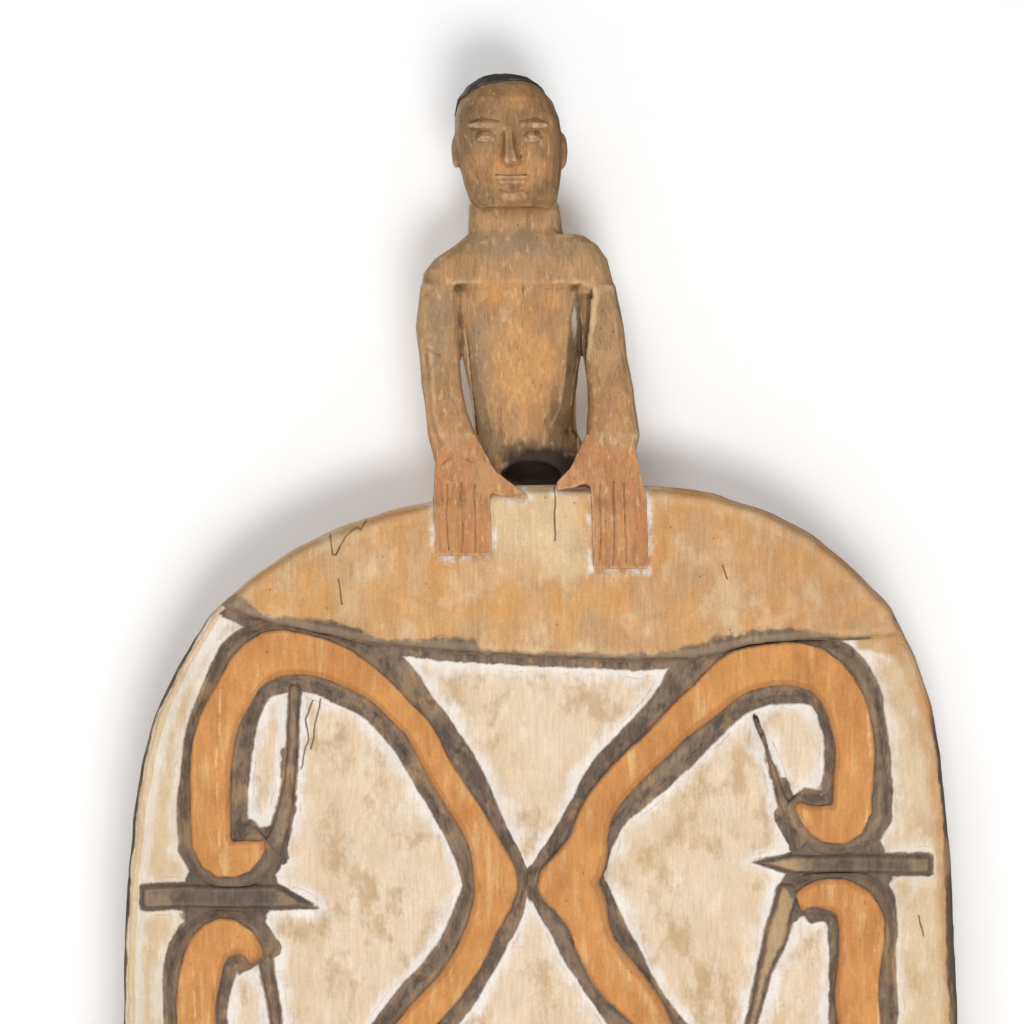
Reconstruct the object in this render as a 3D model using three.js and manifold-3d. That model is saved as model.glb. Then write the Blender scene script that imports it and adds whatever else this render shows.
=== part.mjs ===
// A carved Asmat war shield: one plank with a rounded head, three fields of hooked scrolls in low
// relief, an ancestor figure standing on its crown and a carved grip behind.
// Millimetres, +Z up, the decorated face towards -Y. The origin is the middle of the flat foot.
import * as THREE from 'three';
import { mergeVertices } from 'three/addons/utils/BufferGeometryUtils.js';
import Module from 'manifold-3d';

const wasm = await Module();
wasm.setup();

// Board
const boardWidth = 548;
const boardHeight = 1147;
const boardThickness = 26;
const edgeThickness = 13;
const edgeChamfer = 3;
const footWidth = 400;
const backLandWidth = 250;
const backLandMargin = 130;

// Relief on the front
const reliefHeight = 8;
const bandStep = 2;
const bandEdgeSlope = 0.8;
const clearance = 0.3;
const crestDepth = 91;
const crestSlope = 5;
const footPanelHeight = 30;
const footPanelGap = 5;
const rimWidthLeft = 6;
const rimWidthRight = 9;
const rimHeight = 3;
const rimCrestGap = 3;
const rimSlope = 1.5;

// Scrolls, repeated down the board
const fieldCount = 3;
const limbWidth = 27;
const diagonalWidth = 20;
const limbOuterFlank = 7;
const limbInnerFlank = 9.5;
const diagonalOuterFlank = 14;
const diagonalInnerFlank = 9;
const upperTipTaper = 28;
const lowerTipTaper = 60;
const barWidthLeft = 17;
const barWidthRight = 14;
const barHeight = 4;
const barSlope = 3;
const ribWidth = 8;
const ribHeight = 4;
const ribSlope = 1.6;

// Ancestor figure
const figureHeight = 271;
const figureWidth = 124;
const figureDepth = 60;
const headWidth = 70;
const headDepth = 76;
const headLean = 7;
const hairThickness = 2;
const palmWidth = 37.5;
const handLengthLeft = 67;
const handLengthRight = 75.5;
const handRelief = 7;
const fingerCount = 4;
const fingerGrooveWidth = 2.6;
const fingerGrooveDepth = 2;
const lapHollowWidth = 42;
const lapHollowHeight = 24;
const lapHollowDepth = 32;

// Grip behind
const gripLength = 190;
const gripSpan = 116;
const gripReach = 54;
const gripGap = 33;
const gripWidth = 30;
const gripRounding = 4;

// Planes and sizes that follow from those above
const groundPlane = -(edgeThickness + edgeChamfer) / 2;
const backPlane = groundPlane + boardThickness;
const middlePlane = groundPlane + boardThickness / 2;
const crestPlane = groundPlane - reliefHeight;
const ridgePlane = crestPlane + bandStep;
const palmPlane = crestPlane - middlePlane;
const halfBoard = boardWidth / 2;
const halfFigure = figureWidth / 2;
const halfFigureDepth = figureDepth / 2;
const fieldHeight = (boardHeight - crestDepth - footPanelHeight) / fieldCount;
const motifHeightShare = 0.494;
const halfMotif = fieldHeight * motifHeightShare;
const gripHeightShare = 0.56;

const ochre = { color: 0xda9850, roughness: 0.85, metalness: 0 };
const charcoal = { color: 0x5f554b, roughness: 0.9, metalness: 0 };
const limed = { color: 0xe4cdb4, roughness: 0.9, metalness: 0 };
const stained = { color: 0xc8a578, roughness: 0.8, metalness: 0 };
const carved = { color: 0xaa825a, roughness: 0.75, metalness: 0 };
const redOchre = { color: 0xb97d4b, roughness: 0.8, metalness: 0 };
const soot = { color: 0x46413c, roughness: 0.85, metalness: 0 };

// Joining and cutting

function solidOf(geometry) {
  const bare = geometry.clone();
  bare.deleteAttribute('normal');
  bare.deleteAttribute('uv');
  const merged = mergeVertices(bare);
  const vertProperties = new Float32Array(merged.attributes.position.array);
  const triVerts = new Uint32Array(merged.index.array);
  return new wasm.Manifold(new wasm.Mesh({ numProp: 3, vertProperties, triVerts }));
}

function geometryOf(solid) {
  const result = solid.getMesh();
  const geometry = new THREE.BufferGeometry();
  geometry.setAttribute('position', new THREE.BufferAttribute(result.vertProperties, 3));
  geometry.setIndex(new THREE.BufferAttribute(result.triVerts, 1));
  geometry.computeVertexNormals();
  return geometry;
}

// Of the bodies that a join or a cut leaves, the piece itself, without crumbs of rounding
function mainBody(solid) {
  return solid.decompose().reduce((best, body) => (body.volume() > best.volume() ? body : best));
}

function joined(geometries) {
  return geometryOf(mainBody(geometries.map(solidOf).reduce((sum, solid) => sum.add(solid))));
}

function cut(geometry, cutters) {
  const whole = solidOf(geometry);
  const rest = cutters.map(solidOf).reduce((left, solid) => left.subtract(solid), whole);
  return geometryOf(mainBody(rest));
}

function piece(name, geometry, finish) {
  const mesh = new THREE.Mesh(geometry, new THREE.MeshStandardMaterial(finish));
  mesh.name = name;
  return mesh;
}

// A closed body through rings of equal count, with flat ends made of the given faces.
// The rings run anticlockwise as seen from beyond the last one.
function skin(rings, capFaces) {
  const count = rings[0].length;
  const faces = [];
  for (let level = 0; level + 1 < rings.length; level++) {
    for (let i = 0; i < count; i++) {
      const a = level * count + i;
      const b = level * count + (i + 1) % count;
      faces.push(a, b, b + count, a, b + count, a + count);
    }
  }
  const last = (rings.length - 1) * count;
  for (const [a, b, c] of capFaces) {
    faces.push(a, c, b);
    faces.push(last + a, last + b, last + c);
  }
  const geometry = new THREE.BufferGeometry();
  geometry.setAttribute('position', new THREE.Float32BufferAttribute(rings.flat(2), 3));
  geometry.setIndex(faces);
  geometry.computeVertexNormals();
  return geometry;
}

function fanFaces(count) {
  return Array.from({ length: count - 2 }, (_, i) => [0, i + 1, i + 2]);
}

// Board outline: x as a share of half the width, z as a share of the height
const leftEdgeShares = [
  [-0.095, 1.0], [-0.25, 0.991], [-0.36, 0.986], [-0.452, 0.979], [-0.595, 0.963],
  [-0.693, 0.947], [-0.769, 0.932], [-0.838, 0.91], [-0.898, 0.881], [-0.943, 0.853],
  [-0.979, 0.796], [-0.995, 0.725], [-1.0, 0.6], [-0.99, 0.4], [-0.965, 0.2],
  [-0.91, 0.045],
];
const rightEdgeShares = [
  [0.1, 1.0], [0.26, 1.0], [0.38, 0.997], [0.529, 0.987], [0.657, 0.971],
  [0.769, 0.947], [0.833, 0.932], [0.879, 0.91], [0.926, 0.881], [0.948, 0.853],
  [0.974, 0.796], [0.99, 0.725], [1.0, 0.62], [0.995, 0.45], [0.98, 0.28],
  [0.955, 0.14], [0.905, 0.045],
];
const outlineSteps = 76;

// Anticlockwise seen from the front: up the right edge, over the head, down the left edge
function boardOutline() {
  const plan = ([x, z]) => new THREE.Vector2(x * halfBoard, z * boardHeight);
  const footEnds = [new THREE.Vector2(footWidth / 2, 0), new THREE.Vector2(-footWidth / 2, 0)];
  const edge = new THREE.SplineCurve([
    footEnds[0],
    ...rightEdgeShares.map(plan).reverse(),
    ...leftEdgeShares.map(plan),
    footEnds[1],
  ]);
  return edge.getSpacedPoints(outlineSteps);
}

// The outline drawn in along its own normals, or let out by a distance below zero
function insetOutline(outline, distance) {
  return outline.map((point, i) => {
    const before = outline[(i + outline.length - 1) % outline.length];
    const after = outline[(i + 1) % outline.length];
    const incoming = point.clone().sub(before).normalize();
    const outgoing = after.clone().sub(point).normalize();
    const inward = new THREE.Vector2(-incoming.y, incoming.x);
    const mean = new THREE.Vector2(-outgoing.y, outgoing.x).add(inward).normalize();
    return point.clone().addScaledVector(mean, distance / mean.dot(inward));
  });
}

function frontOutline(grow = 0) {
  return insetOutline(boardOutline(), edgeChamfer - grow);
}

// Where the front face ends on one side, -1 or 1, at a height
function frontEdgeAt(side, height) {
  const outline = frontOutline();
  for (let i = 0; i + 1 < outline.length; i++) {
    const [a, b] = [outline[i], outline[i + 1]];
    const spans = (a.y - height) * (b.y - height) <= 0 && a.y !== b.y;
    if (spans && a.x * side > 0) {
      return new THREE.Vector2(a.x + (b.x - a.x) * (height - a.y) / (b.y - a.y), height);
    }
  }
  return new THREE.Vector2(side * halfBoard, height);
}

function ringAt(outline, depth) {
  return outline.map((point) => [point.x, depth, point.y]);
}

// The flat land behind: the outline drawn towards the board's middle
function landOutline(outline) {
  const middle = boardHeight / 2;
  const across = backLandWidth / boardWidth;
  const along = (boardHeight - backLandMargin * 2) / boardHeight;
  return outline.map((point) =>
    new THREE.Vector2(point.x * across, middle + (point.y - middle) * along));
}

function boardGeometry(grow = 0) {
  const outline = insetOutline(boardOutline(), -grow);
  const rings = [
    ringAt(landOutline(outline), backPlane + grow),
    ringAt(outline, groundPlane + edgeThickness + grow),
    ringAt(outline, groundPlane + edgeChamfer),
    ringAt(frontOutline(grow), groundPlane - grow),
  ];
  return skin(rings, THREE.ShapeUtils.triangulateShape(outline, []));
}

// A raised panel on the front's ground, its sides sloping in to a flat top
function panelGeometry(outline, height, slope, grow = 0) {
  const foot = insetOutline(outline, -grow);
  const crown = insetOutline(outline, slope - grow);
  const rings = [ringAt(foot, groundPlane), ringAt(crown, groundPlane - height - grow)];
  return skin(rings, THREE.ShapeUtils.triangulateShape(foot, []));
}

// Crest border from left to right: x as a share of half the board, depth as a share of the crest's
const crestLeftShare = 0.89;
const crestRightShare = 1.1;
const crestBorderShares = [[-0.66, 1.0], [-0.336, 1.18], [0.295, 1.28], [0.52, 1.16]];
const crestBorderSteps = 14;

// Whether a point of an outline leaves room at both corners for a panel's slope
function leavesRoom(point, left, right) {
  const room = crestSlope * 3;
  return point.distanceTo(left) > room && point.distanceTo(right) > room;
}

function crestOutline() {
  const left = frontEdgeAt(-1, boardHeight - crestDepth * crestLeftShare);
  const right = frontEdgeAt(1, boardHeight - crestDepth * crestRightShare);
  const head = frontOutline().filter((point) =>
    point.y > (point.x < 0 ? left.y : right.y) && leavesRoom(point, left, right));
  const border = new THREE.SplineCurve([
    left,
    ...crestBorderShares.map(([x, depth]) =>
      new THREE.Vector2(x * halfBoard, boardHeight - depth * crestDepth)),
    right,
  ]);
  const within = border.getPoints(crestBorderSteps).filter((point) => leavesRoom(point, left, right));
  return [right, ...head, left, ...within];
}

function footOutline() {
  const top = footPanelHeight - footPanelGap;
  const [left, right] = [frontEdgeAt(-1, top), frontEdgeAt(1, top)];
  const low = frontOutline().filter((point) => point.y < top && leavesRoom(point, left, right));
  const leftPoints = low.filter((point) => point.x < 0);
  const rightPoints = low.filter((point) => point.x > 0);
  return [left, ...leftPoints, ...rightPoints, right];
}

// A rim along one side, from the foot panel up to the crest
function rimOutline(side, width) {
  const crestShare = side < 0 ? crestLeftShare : crestRightShare;
  const top = boardHeight - crestDepth * crestShare - rimCrestGap;
  const bottom = footPanelHeight - footPanelGap + clearance;
  const between = frontOutline().filter((point) =>
    point.x * side > 0 && point.y > bottom && point.y < top);
  const upward = side > 0 ? between : between.reverse();
  const outer = [frontEdgeAt(side, bottom), ...upward, frontEdgeAt(side, top)];
  const inner = outer.map((point) => new THREE.Vector2(point.x - side * width, point.y)).reverse();
  const around = [...outer, ...inner];
  return side > 0 ? around : around.reverse();
}

// Scrolls and the small work beside them, for the hand that cut each half. Places are shares of
// half the board across and of half the motif up, from the crossing. A scroll runs from the
// upper hook's tip over its arch to the crossing and on to the lower hook's tip. A bar gives its
// inner tip, its shoulder and its middle height. A rib's third share is of half the rib's width.
const leftHand = {
  scrollShares: [
    [-0.648, 0.18], [-0.694, 0.113], [-0.75, 0.096], [-0.788, 0.169], [-0.786, 0.338],
    [-0.775, 0.508], [-0.764, 0.665], [-0.732, 0.795], [-0.687, 0.869], [-0.61, 0.902],
    [-0.514, 0.881], [-0.435, 0.812], [-0.36, 0.712], [-0.268, 0.508], [-0.173, 0.282],
    [-0.12, 0.13], [-0.102, 0], [-0.128, -0.1], [-0.188, -0.25], [-0.254, -0.395],
    [-0.335, -0.58], [-0.41, -0.73], [-0.5, -0.84], [-0.6, -0.875], [-0.7, -0.84],
    [-0.77, -0.74], [-0.81, -0.6], [-0.822, -0.45], [-0.817, -0.3], [-0.795, -0.215],
    [-0.75, -0.18], [-0.7, -0.2], [-0.673, -0.271],
  ],
  tipWidthShares: [0.62, 0.42],
  barWidth: barWidthLeft,
  barShares: { tip: [-0.528, -0.08], shoulder: -0.63, middle: -0.035 },
  ribShares: {
    upper: [[-0.588, 0.77, 0.9], [-0.595, 0.46, 1.0], [-0.622, 0.22, 1.5], [-0.652, 0.09, 1.9]],
    lower: [[-0.66, -0.2, 1.2], [-0.645, -0.37, 1.0], [-0.63, -0.52, 0.9], [-0.615, -0.74, 0.7]],
  },
};
const rightHand = {
  scrollShares: [
    [0.605, 0.32], [0.65, 0.253], [0.715, 0.238], [0.753, 0.302], [0.753, 0.449],
    [0.749, 0.572], [0.738, 0.694], [0.711, 0.78], [0.662, 0.839], [0.578, 0.851],
    [0.51, 0.835], [0.449, 0.792], [0.373, 0.694], [0.221, 0.449], [0.147, 0.326],
    [0.101, 0.203], [0.064, 0.085], [0.056, 0.02], [0.079, -0.045], [0.172, -0.287],
    [0.263, -0.52], [0.34, -0.68], [0.42, -0.8], [0.52, -0.86], [0.62, -0.85],
    [0.71, -0.78], [0.76, -0.65], [0.77, -0.48], [0.766, -0.287], [0.762, -0.13],
    [0.745, -0.055], [0.707, -0.023], [0.655, -0.02], [0.612, -0.054],
  ],
  tipWidthShares: [0.22, 0.5],
  barWidth: barWidthRight,
  barShares: { tip: [0.5, 0.1], shoulder: 0.6, middle: 0.09 },
  ribShares: {
    upper: [[0.505, 0.68, 0.7], [0.557, 0.43, 0.7], [0.586, 0.28, 0.9], [0.622, 0.15, 1.1]],
    lower: [[0.59, 0.01, 1.6], [0.56, -0.18, 1.9], [0.53, -0.335, 1.15], [0.47, -0.7, 0.7]],
  },
};

// The same cutting laid out on the other side of the board
function mirroredHand(hand) {
  const flip = ([x, ...rest]) => [-x, ...rest];
  const { tip, shoulder, middle } = hand.barShares;
  return {
    scrollShares: hand.scrollShares.map(flip),
    tipWidthShares: hand.tipWidthShares,
    barWidth: hand.barWidth,
    barShares: { tip: flip(tip), shoulder: -shoulder, middle },
    ribShares: {
      upper: hand.ribShares.upper.map(flip),
      lower: hand.ribShares.lower.map(flip),
    },
  };
}

function sideOf(hand) {
  return Math.sign(hand.barShares.shoulder);
}

const stepsPerScrollPoint = 2;

function scrollStations(hand) {
  const line = new THREE.SplineCurve(hand.scrollShares.map(([x, z]) =>
    new THREE.Vector2(x * halfBoard, z * halfMotif)));
  const steps = (hand.scrollShares.length - 1) * stepsPerScrollPoint;
  const total = line.getLength();
  let walked = 0;
  return line.getPoints(steps).map((centre, i, all) => {
    walked += i > 0 ? centre.distanceTo(all[i - 1]) : 0;
    const along = line.getTangent(i / steps);
    const normal = new THREE.Vector2(-along.y, along.x);
    return { centre, normal, halfWidth: scrollHalfWidth(hand, centre, walked, total) };
  });
}

// How far a place lies between the slim diagonals, 0, and the broad limbs, 1
const limbStartShare = 0.36;
const limbFullShare = 0.52;

function limbAmount(centre) {
  return THREE.MathUtils.smoothstep(Math.abs(centre.x) / halfBoard, limbStartShare, limbFullShare);
}

function scrollHalfWidth(hand, centre, walked, total) {
  const body = THREE.MathUtils.lerp(diagonalWidth, limbWidth, limbAmount(centre)) / 2;
  const [upperTip, lowerTip] = hand.tipWidthShares;
  const upper = Math.min(walked / upperTipTaper, 1);
  const lower = Math.min(Math.max(total - walked, 0) / lowerTipTaper, 1);
  const ease = (share, amount) => share + (1 - share) * Math.sin(amount * Math.PI / 2);
  return body * ease(upperTip, upper) * ease(lowerTip, lower);
}

function offsetPoint(station, distance) {
  return station.centre.clone().addScaledVector(station.normal, distance);
}

// How far a strip may reach to one side, 1 for left, before a tight bend folds it over
function bendLimit(stations, i, side) {
  const near = stations[Math.max(i - 1, 0)];
  const far = stations[Math.min(i + 1, stations.length - 1)];
  const turn = near.normal.cross(far.normal) * side;
  const bendShare = 0.9;
  return turn > 0 ? bendShare * near.centre.distanceTo(far.centre) / turn : Infinity;
}

// A strip along stations, with its left and right reach at the foot and at the top. It is
// joined wedge by wedge, so the flanks of a tight hook run into each other.
function stripGeometry(stations, reachAt, low, high) {
  const rings = stations.map((station, i) => {
    const { foot, top } = reachAt(station);
    const limits = [bendLimit(stations, i, 1), bendLimit(stations, i, -1)];
    const corner = (reach, side, level) => {
      const held = Math.min(reach[side], limits[side]);
      const point = offsetPoint(station, side === 0 ? held : -held);
      return [point.x, level, point.y];
    };
    return [corner(top, 0, high), corner(top, 1, high), corner(foot, 1, low), corner(foot, 0, low)];
  });
  return joined(rings.slice(1).map((ring, i) => skin([rings[i], ring], fanFaces(4))));
}

// The charcoal-flanked ridge that carries a scroll
function ridgeGeometry(hand, grow = 0) {
  const outerOnLeft = sideOf(hand) < 0;
  const reachAt = (station) => {
    const half = station.halfWidth + grow;
    const amount = limbAmount(station.centre);
    const outer = half + THREE.MathUtils.lerp(diagonalOuterFlank, limbOuterFlank, amount);
    const inner = half + THREE.MathUtils.lerp(diagonalInnerFlank, limbInnerFlank, amount);
    return { foot: outerOnLeft ? [outer, inner] : [inner, outer], top: [half, half] };
  };
  return stripGeometry(scrollStations(hand), reachAt, groundPlane, ridgePlane - grow);
}

// The painted top of a scroll, standing a step above its ridge
function bandGeometry(hand) {
  const reachAt = ({ halfWidth }) => {
    const crown = halfWidth - bandEdgeSlope;
    return { foot: [halfWidth, halfWidth], top: [crown, crown] };
  };
  return stripGeometry(scrollStations(hand), reachAt, ridgePlane, crestPlane);
}

// A bar from the rim in to a point between the two hooks
function barOutline(hand, crossing) {
  const side = sideOf(hand);
  const { tip, shoulder, middle } = hand.barShares;
  const rim = side < 0 ? rimWidthLeft : rimWidthRight;
  const level = middle * halfMotif;
  const half = hand.barWidth / 2;
  const ends = [level - half, level + half].map((z) =>
    Math.abs(frontEdgeAt(side, crossing + z).x));
  const outer = side * (Math.min(...ends) - rim - clearance);
  const around = [
    new THREE.Vector2(outer, level - half),
    new THREE.Vector2(shoulder * halfBoard, level - half),
    new THREE.Vector2(tip[0] * halfBoard, tip[1] * halfMotif),
    new THREE.Vector2(shoulder * halfBoard, level + half),
    new THREE.Vector2(outer, level + half),
  ];
  return side < 0 ? around : around.reverse();
}

// A slim rib along a short curve
function ribOutline(shares) {
  const line = new THREE.SplineCurve(shares.map(([x, z]) =>
    new THREE.Vector2(x * halfBoard, z * halfMotif)));
  const widths = new THREE.SplineCurve(shares.map(([, , width], i) =>
    new THREE.Vector2(i, width * ribWidth / 2)));
  const steps = 8;
  const rims = line.getPoints(steps).map((centre, i) => {
    const along = line.getTangent(i / steps);
    const normal = new THREE.Vector2(-along.y, along.x);
    const station = { centre, normal };
    const half = widths.getPoint(i / steps).y;
    return { left: offsetPoint(station, half), right: offsetPoint(station, -half) };
  });
  return [...rims.map(({ right }) => right), ...rims.map(({ left }) => left).reverse()];
}

// One field of the front: two scrolls crossing, with their bars and ribs
function fieldOf(number) {
  const swapped = number % 2 === 0;
  const left = swapped ? mirroredHand(rightHand) : leftHand;
  const right = swapped ? mirroredHand(leftHand) : rightHand;
  const below = boardHeight - crestDepth - fieldHeight * (number - 0.5);
  return { number, crossing: below, hands: { left, right } };
}

function movedBy(geometry, height) {
  return geometry.clone().translate(0, 0, height);
}

function fieldGroup(field, above) {
  const { number, crossing, hands } = field;
  const bars = {};
  const grownBars = {};
  const grownRidges = {};
  for (const [side, hand] of Object.entries(hands)) {
    const outline = barOutline(hand, crossing);
    bars[side] = panelGeometry(outline, barHeight, barSlope);
    grownBars[side] = panelGeometry(outline, barHeight, barSlope, clearance);
    grownRidges[side] = ridgeGeometry(hand, clearance);
  }
  const higher = above ? above.grownRidges.map((ridge) => movedBy(ridge, fieldHeight)) : [];
  const group = new THREE.Group();
  group.position.z = crossing;
  for (const [side, hand] of Object.entries(hands)) {
    const crossed = side === 'right' ? [grownRidges.left] : [];
    const ridge = cut(ridgeGeometry(hand), [grownBars[side], ...crossed, ...higher]);
    group.add(piece(`ridge_${side}_${number}`, ridge, charcoal));
    group.add(piece(`band_${side}_${number}`, bandGeometry(hand), ochre));
    group.add(piece(`bar_${side}_${number}`, bars[side], charcoal));
    for (const [place, shares] of Object.entries(hand.ribShares)) {
      const rib = panelGeometry(ribOutline(shares), ribHeight, ribSlope);
      const trimmed = cut(rib, [grownRidges[side], grownBars[side]]);
      group.add(piece(`rib_${place}_${side}_${number}`, trimmed, charcoal));
    }
  }
  return { group, grownRidges: Object.values(grownRidges) };
}

// Figure. A body part is a loft of level sections, each
// [height, x, y, half width, half depth, how much the front is drawn in], as shares of the
// figure's height above the board, of half its width and of half its depth.
const yokeShares = [
  [0.485, -0.241, 0.12, 1.028, 0.65, 0.06],
  [0.516, -0.252, 0.13, 1.006, 0.67, 0.06],
  [0.55, -0.215, 0.13, 0.927, 0.67, 0.08],
  [0.584, -0.152, 0.12, 0.76, 0.62, 0.1],
  [0.606, -0.165, 0.12, 0.63, 0.55, 0.1],
];
const torsoShares = [
  [0.132, -0.157, 0.37, 0.555, 0.43, 0.44],
  [0.18, -0.178, 0.28, 0.556, 0.4, 0.38],
  [0.24, -0.19, 0.22, 0.576, 0.45, 0.26],
  [0.315, -0.206, 0.18, 0.64, 0.53, 0.2],
  [0.382, -0.22, 0.16, 0.66, 0.58, 0.14],
  [0.485, -0.242, 0.13, 0.645, 0.6, 0.03],
];
const hipShares = [
  [-0.2, -0.06, 0.66, 0.3, 0.2, 0],
  [-0.08, -0.08, 0.66, 0.5, 0.44, 0],
  [0.0, -0.1, 0.6, 0.64, 0.58, 0.1],
  [0.045, -0.115, 0.52, 0.67, 0.62, 0.2],
  [0.09, -0.13, 0.45, 0.62, 0.54, 0.34],
  [0.132, -0.157, 0.37, 0.555, 0.43, 0.44],
];
const neckShares = [
  [0.606, -0.272, 0.12, 0.5, 0.5, 0.1],
  [0.64, -0.275, 0.1, 0.5, 0.48, 0.1],
  [0.668, -0.288, 0.1, 0.51, 0.5, 0.1],
];
const leftArmShares = [
  [0.079, -0.877, -0.6, 0.297, 0.333, 0],
  [0.121, -0.935, -0.54, 0.253, 0.35, 0],
  [0.18, -0.997, -0.42, 0.212, 0.38, 0],
  [0.24, -1.044, -0.29, 0.207, 0.4, 0],
  [0.315, -1.071, -0.14, 0.21, 0.44, 0],
  [0.382, -1.097, -0.02, 0.226, 0.48, 0],
  [0.485, -1.08, 0.09, 0.192, 0.5, 0],
];
const rightArmShares = [
  [0.079, 0.718, -0.6, 0.331, 0.333, 0],
  [0.121, 0.755, -0.54, 0.279, 0.35, 0],
  [0.18, 0.745, -0.42, 0.252, 0.38, 0],
  [0.24, 0.729, -0.29, 0.235, 0.4, 0],
  [0.315, 0.677, -0.14, 0.226, 0.44, 0],
  [0.382, 0.652, -0.02, 0.219, 0.48, 0],
  [0.485, 0.587, 0.09, 0.2, 0.5, 0],
];
const bodySides = 20;
const cornerShare = 0.6;

// A level ring between round and square: a corner share of 1 is an ellipse
function bodyRing(x, y, z, halfWidth, halfDepth, drawnIn) {
  return Array.from({ length: bodySides }, (_, i) => {
    const angle = (i + 0.5) * 2 * Math.PI / bodySides;
    const [c, s] = [Math.cos(angle), Math.sin(angle)];
    const across = Math.sign(c) * Math.abs(c) ** cornerShare;
    const deep = Math.sign(s) * Math.abs(s) ** cornerShare;
    const narrowing = 1 - drawnIn * Math.max(0, -deep);
    return [x + across * halfWidth * narrowing, y + deep * halfDepth, z];
  });
}

function bodyGeometry(shares, grow = 0) {
  const rings = shares.map(([z, x, y, width, depth, drawnIn], i) => {
    const beyond = (i === 0 ? -grow : 0) + (i === shares.length - 1 ? grow : 0);
    return bodyRing(
      x * halfFigure,
      y * halfFigureDepth,
      z * figureHeight + beyond,
      width * halfFigure + grow,
      depth * halfFigureDepth + grow,
      drawnIn,
    );
  });
  return skin(rings, fanFaces(bodySides));
}

// Head: level sections as shares of its height, half width and half depth, chin to crown:
// [height, half width, reach of the face, reach of the nape]
const chinLevelShare = 0.668;
const headPlaceShare = -0.283;
const headDepthPlaceShare = 0.06;
const skullShares = [
  [0, 0.72, 0.74, 0.62],
  [0.07, 0.82, 0.84, 0.68],
  [0.17, 0.89, 0.86, 0.76],
  [0.3, 0.95, 0.88, 0.88],
  [0.42, 0.99, 0.87, 0.96],
  [0.5, 1.0, 0.86, 1.0],
  [0.58, 1.0, 0.93, 1.0],
  [0.68, 0.98, 0.92, 0.99],
  [0.8, 0.88, 0.84, 0.9],
  [0.9, 0.68, 0.64, 0.72],
  [0.97, 0.42, 0.38, 0.44],
  [1.0, 0.16, 0.14, 0.16],
];
const headSides = 24;
const headCornerShare = 0.82;
const hairlineShare = 0.84;
const hairlineFallBack = THREE.MathUtils.degToRad(22);
const hairlineFallLeft = THREE.MathUtils.degToRad(14);
const hairCutReachShare = 3;
const chinLevel = chinLevelShare * figureHeight;
const headHeight = figureHeight - hairThickness - chinLevel;
const headY = headDepthPlaceShare * halfFigureDepth;

// The head's middle across, which leans to the left from the chin to the crown
function headXAt(height) {
  return headPlaceShare * halfFigure - headLean * height;
}

function headRing([height, width, face, nape], grow, lift) {
  const middle = headXAt(height);
  return Array.from({ length: headSides }, (_, i) => {
    const angle = (i + 0.5) * 2 * Math.PI / headSides;
    const [c, s] = [Math.cos(angle), Math.sin(angle)];
    const across = Math.sign(c) * Math.abs(c) ** headCornerShare;
    const deep = Math.sign(s) * Math.abs(s) ** headCornerShare;
    const reach = (s < 0 ? face : nape) * headDepth / 2 + grow;
    return [
      middle + across * (width * headWidth / 2 + grow),
      headY + deep * reach,
      chinLevel + height * headHeight + lift,
    ];
  });
}

function skullGeometry(levels, grow = 0) {
  const rings = levels.map((level, i) => headRing(level, grow, i === 0 ? -grow : grow));
  return skin(rings, fanFaces(headSides));
}

// A smooth swelling for the face, placed by shares of the head's size
function swelling(across, forward, up, halfAcross, halfForward, halfUp) {
  const around = 16;
  const rows = 8;
  return new THREE.SphereGeometry(1, around, rows)
    .rotateX(Math.PI / 2)
    .scale(halfAcross * headWidth / 2, halfForward * headDepth / 2, halfUp * headHeight)
    .translate(
      headXAt(up) + across * headWidth / 2,
      headY - forward * headDepth / 2,
      chinLevel + up * headHeight,
    );
}

// Nose: from the brow to its base, [height, half width, reach]
const noseShares = [
  [0.29, 0.17, 1.04],
  [0.315, 0.21, 1.13],
  [0.36, 0.17, 1.11],
  [0.47, 0.11, 1.0],
  [0.57, 0.13, 0.95],
];

function noseGeometry() {
  const rootShare = 0.6;
  const rings = noseShares.map(([height, width, reach]) => {
    const z = chinLevel + height * headHeight;
    const x = headXAt(height);
    const half = width * headWidth / 2;
    const front = headY - reach * headDepth / 2;
    const root = headY - rootShare * headDepth / 2;
    return [
      [x - half, root, z],
      [x - half, (front + root) / 2, z],
      [x - half / 2, front, z],
      [x + half / 2, front, z],
      [x + half, (front + root) / 2, z],
      [x + half, root, z],
    ];
  });
  return skin(rings, fanFaces(6));
}

function headGeometry() {
  const pair = (make) => [make(-1), make(1)];
  return joined([
    skullGeometry(skullShares),
    noseGeometry(),
    ...pair((side) => swelling(side * 0.4, 0.84, 0.585, 0.36, 0.12, 0.035)),
    ...pair((side) => swelling(side * 0.4, 0.8, 0.49, 0.2, 0.1, 0.035)),
    ...pair((side) => swelling(side, 0, 0.44, 0.09, 0.16, 0.13)),
    swelling(0, 0.86, 0.205, 0.34, 0.07, 0.018),
    swelling(0, 0.86, 0.17, 0.28, 0.07, 0.02),
    swelling(0, 0.78, 0.07, 0.3, 0.14, 0.06),
  ]);
}

// Cropped hair: a thin cap whose lower edge slants down to the left and to the nape
function hairGeometry() {
  const reach = headHeight * hairCutReachShare;
  const below = new THREE.BoxGeometry(reach, reach, reach)
    .translate(0, 0, -reach / 2)
    .rotateX(-hairlineFallBack)
    .rotateY(-hairlineFallLeft)
    .translate(headXAt(hairlineShare), headY, chinLevel + hairlineShare * headHeight);
  const head = skullGeometry(skullShares, clearance);
  return cut(skullGeometry(skullShares, hairThickness), [head, below]);
}

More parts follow.
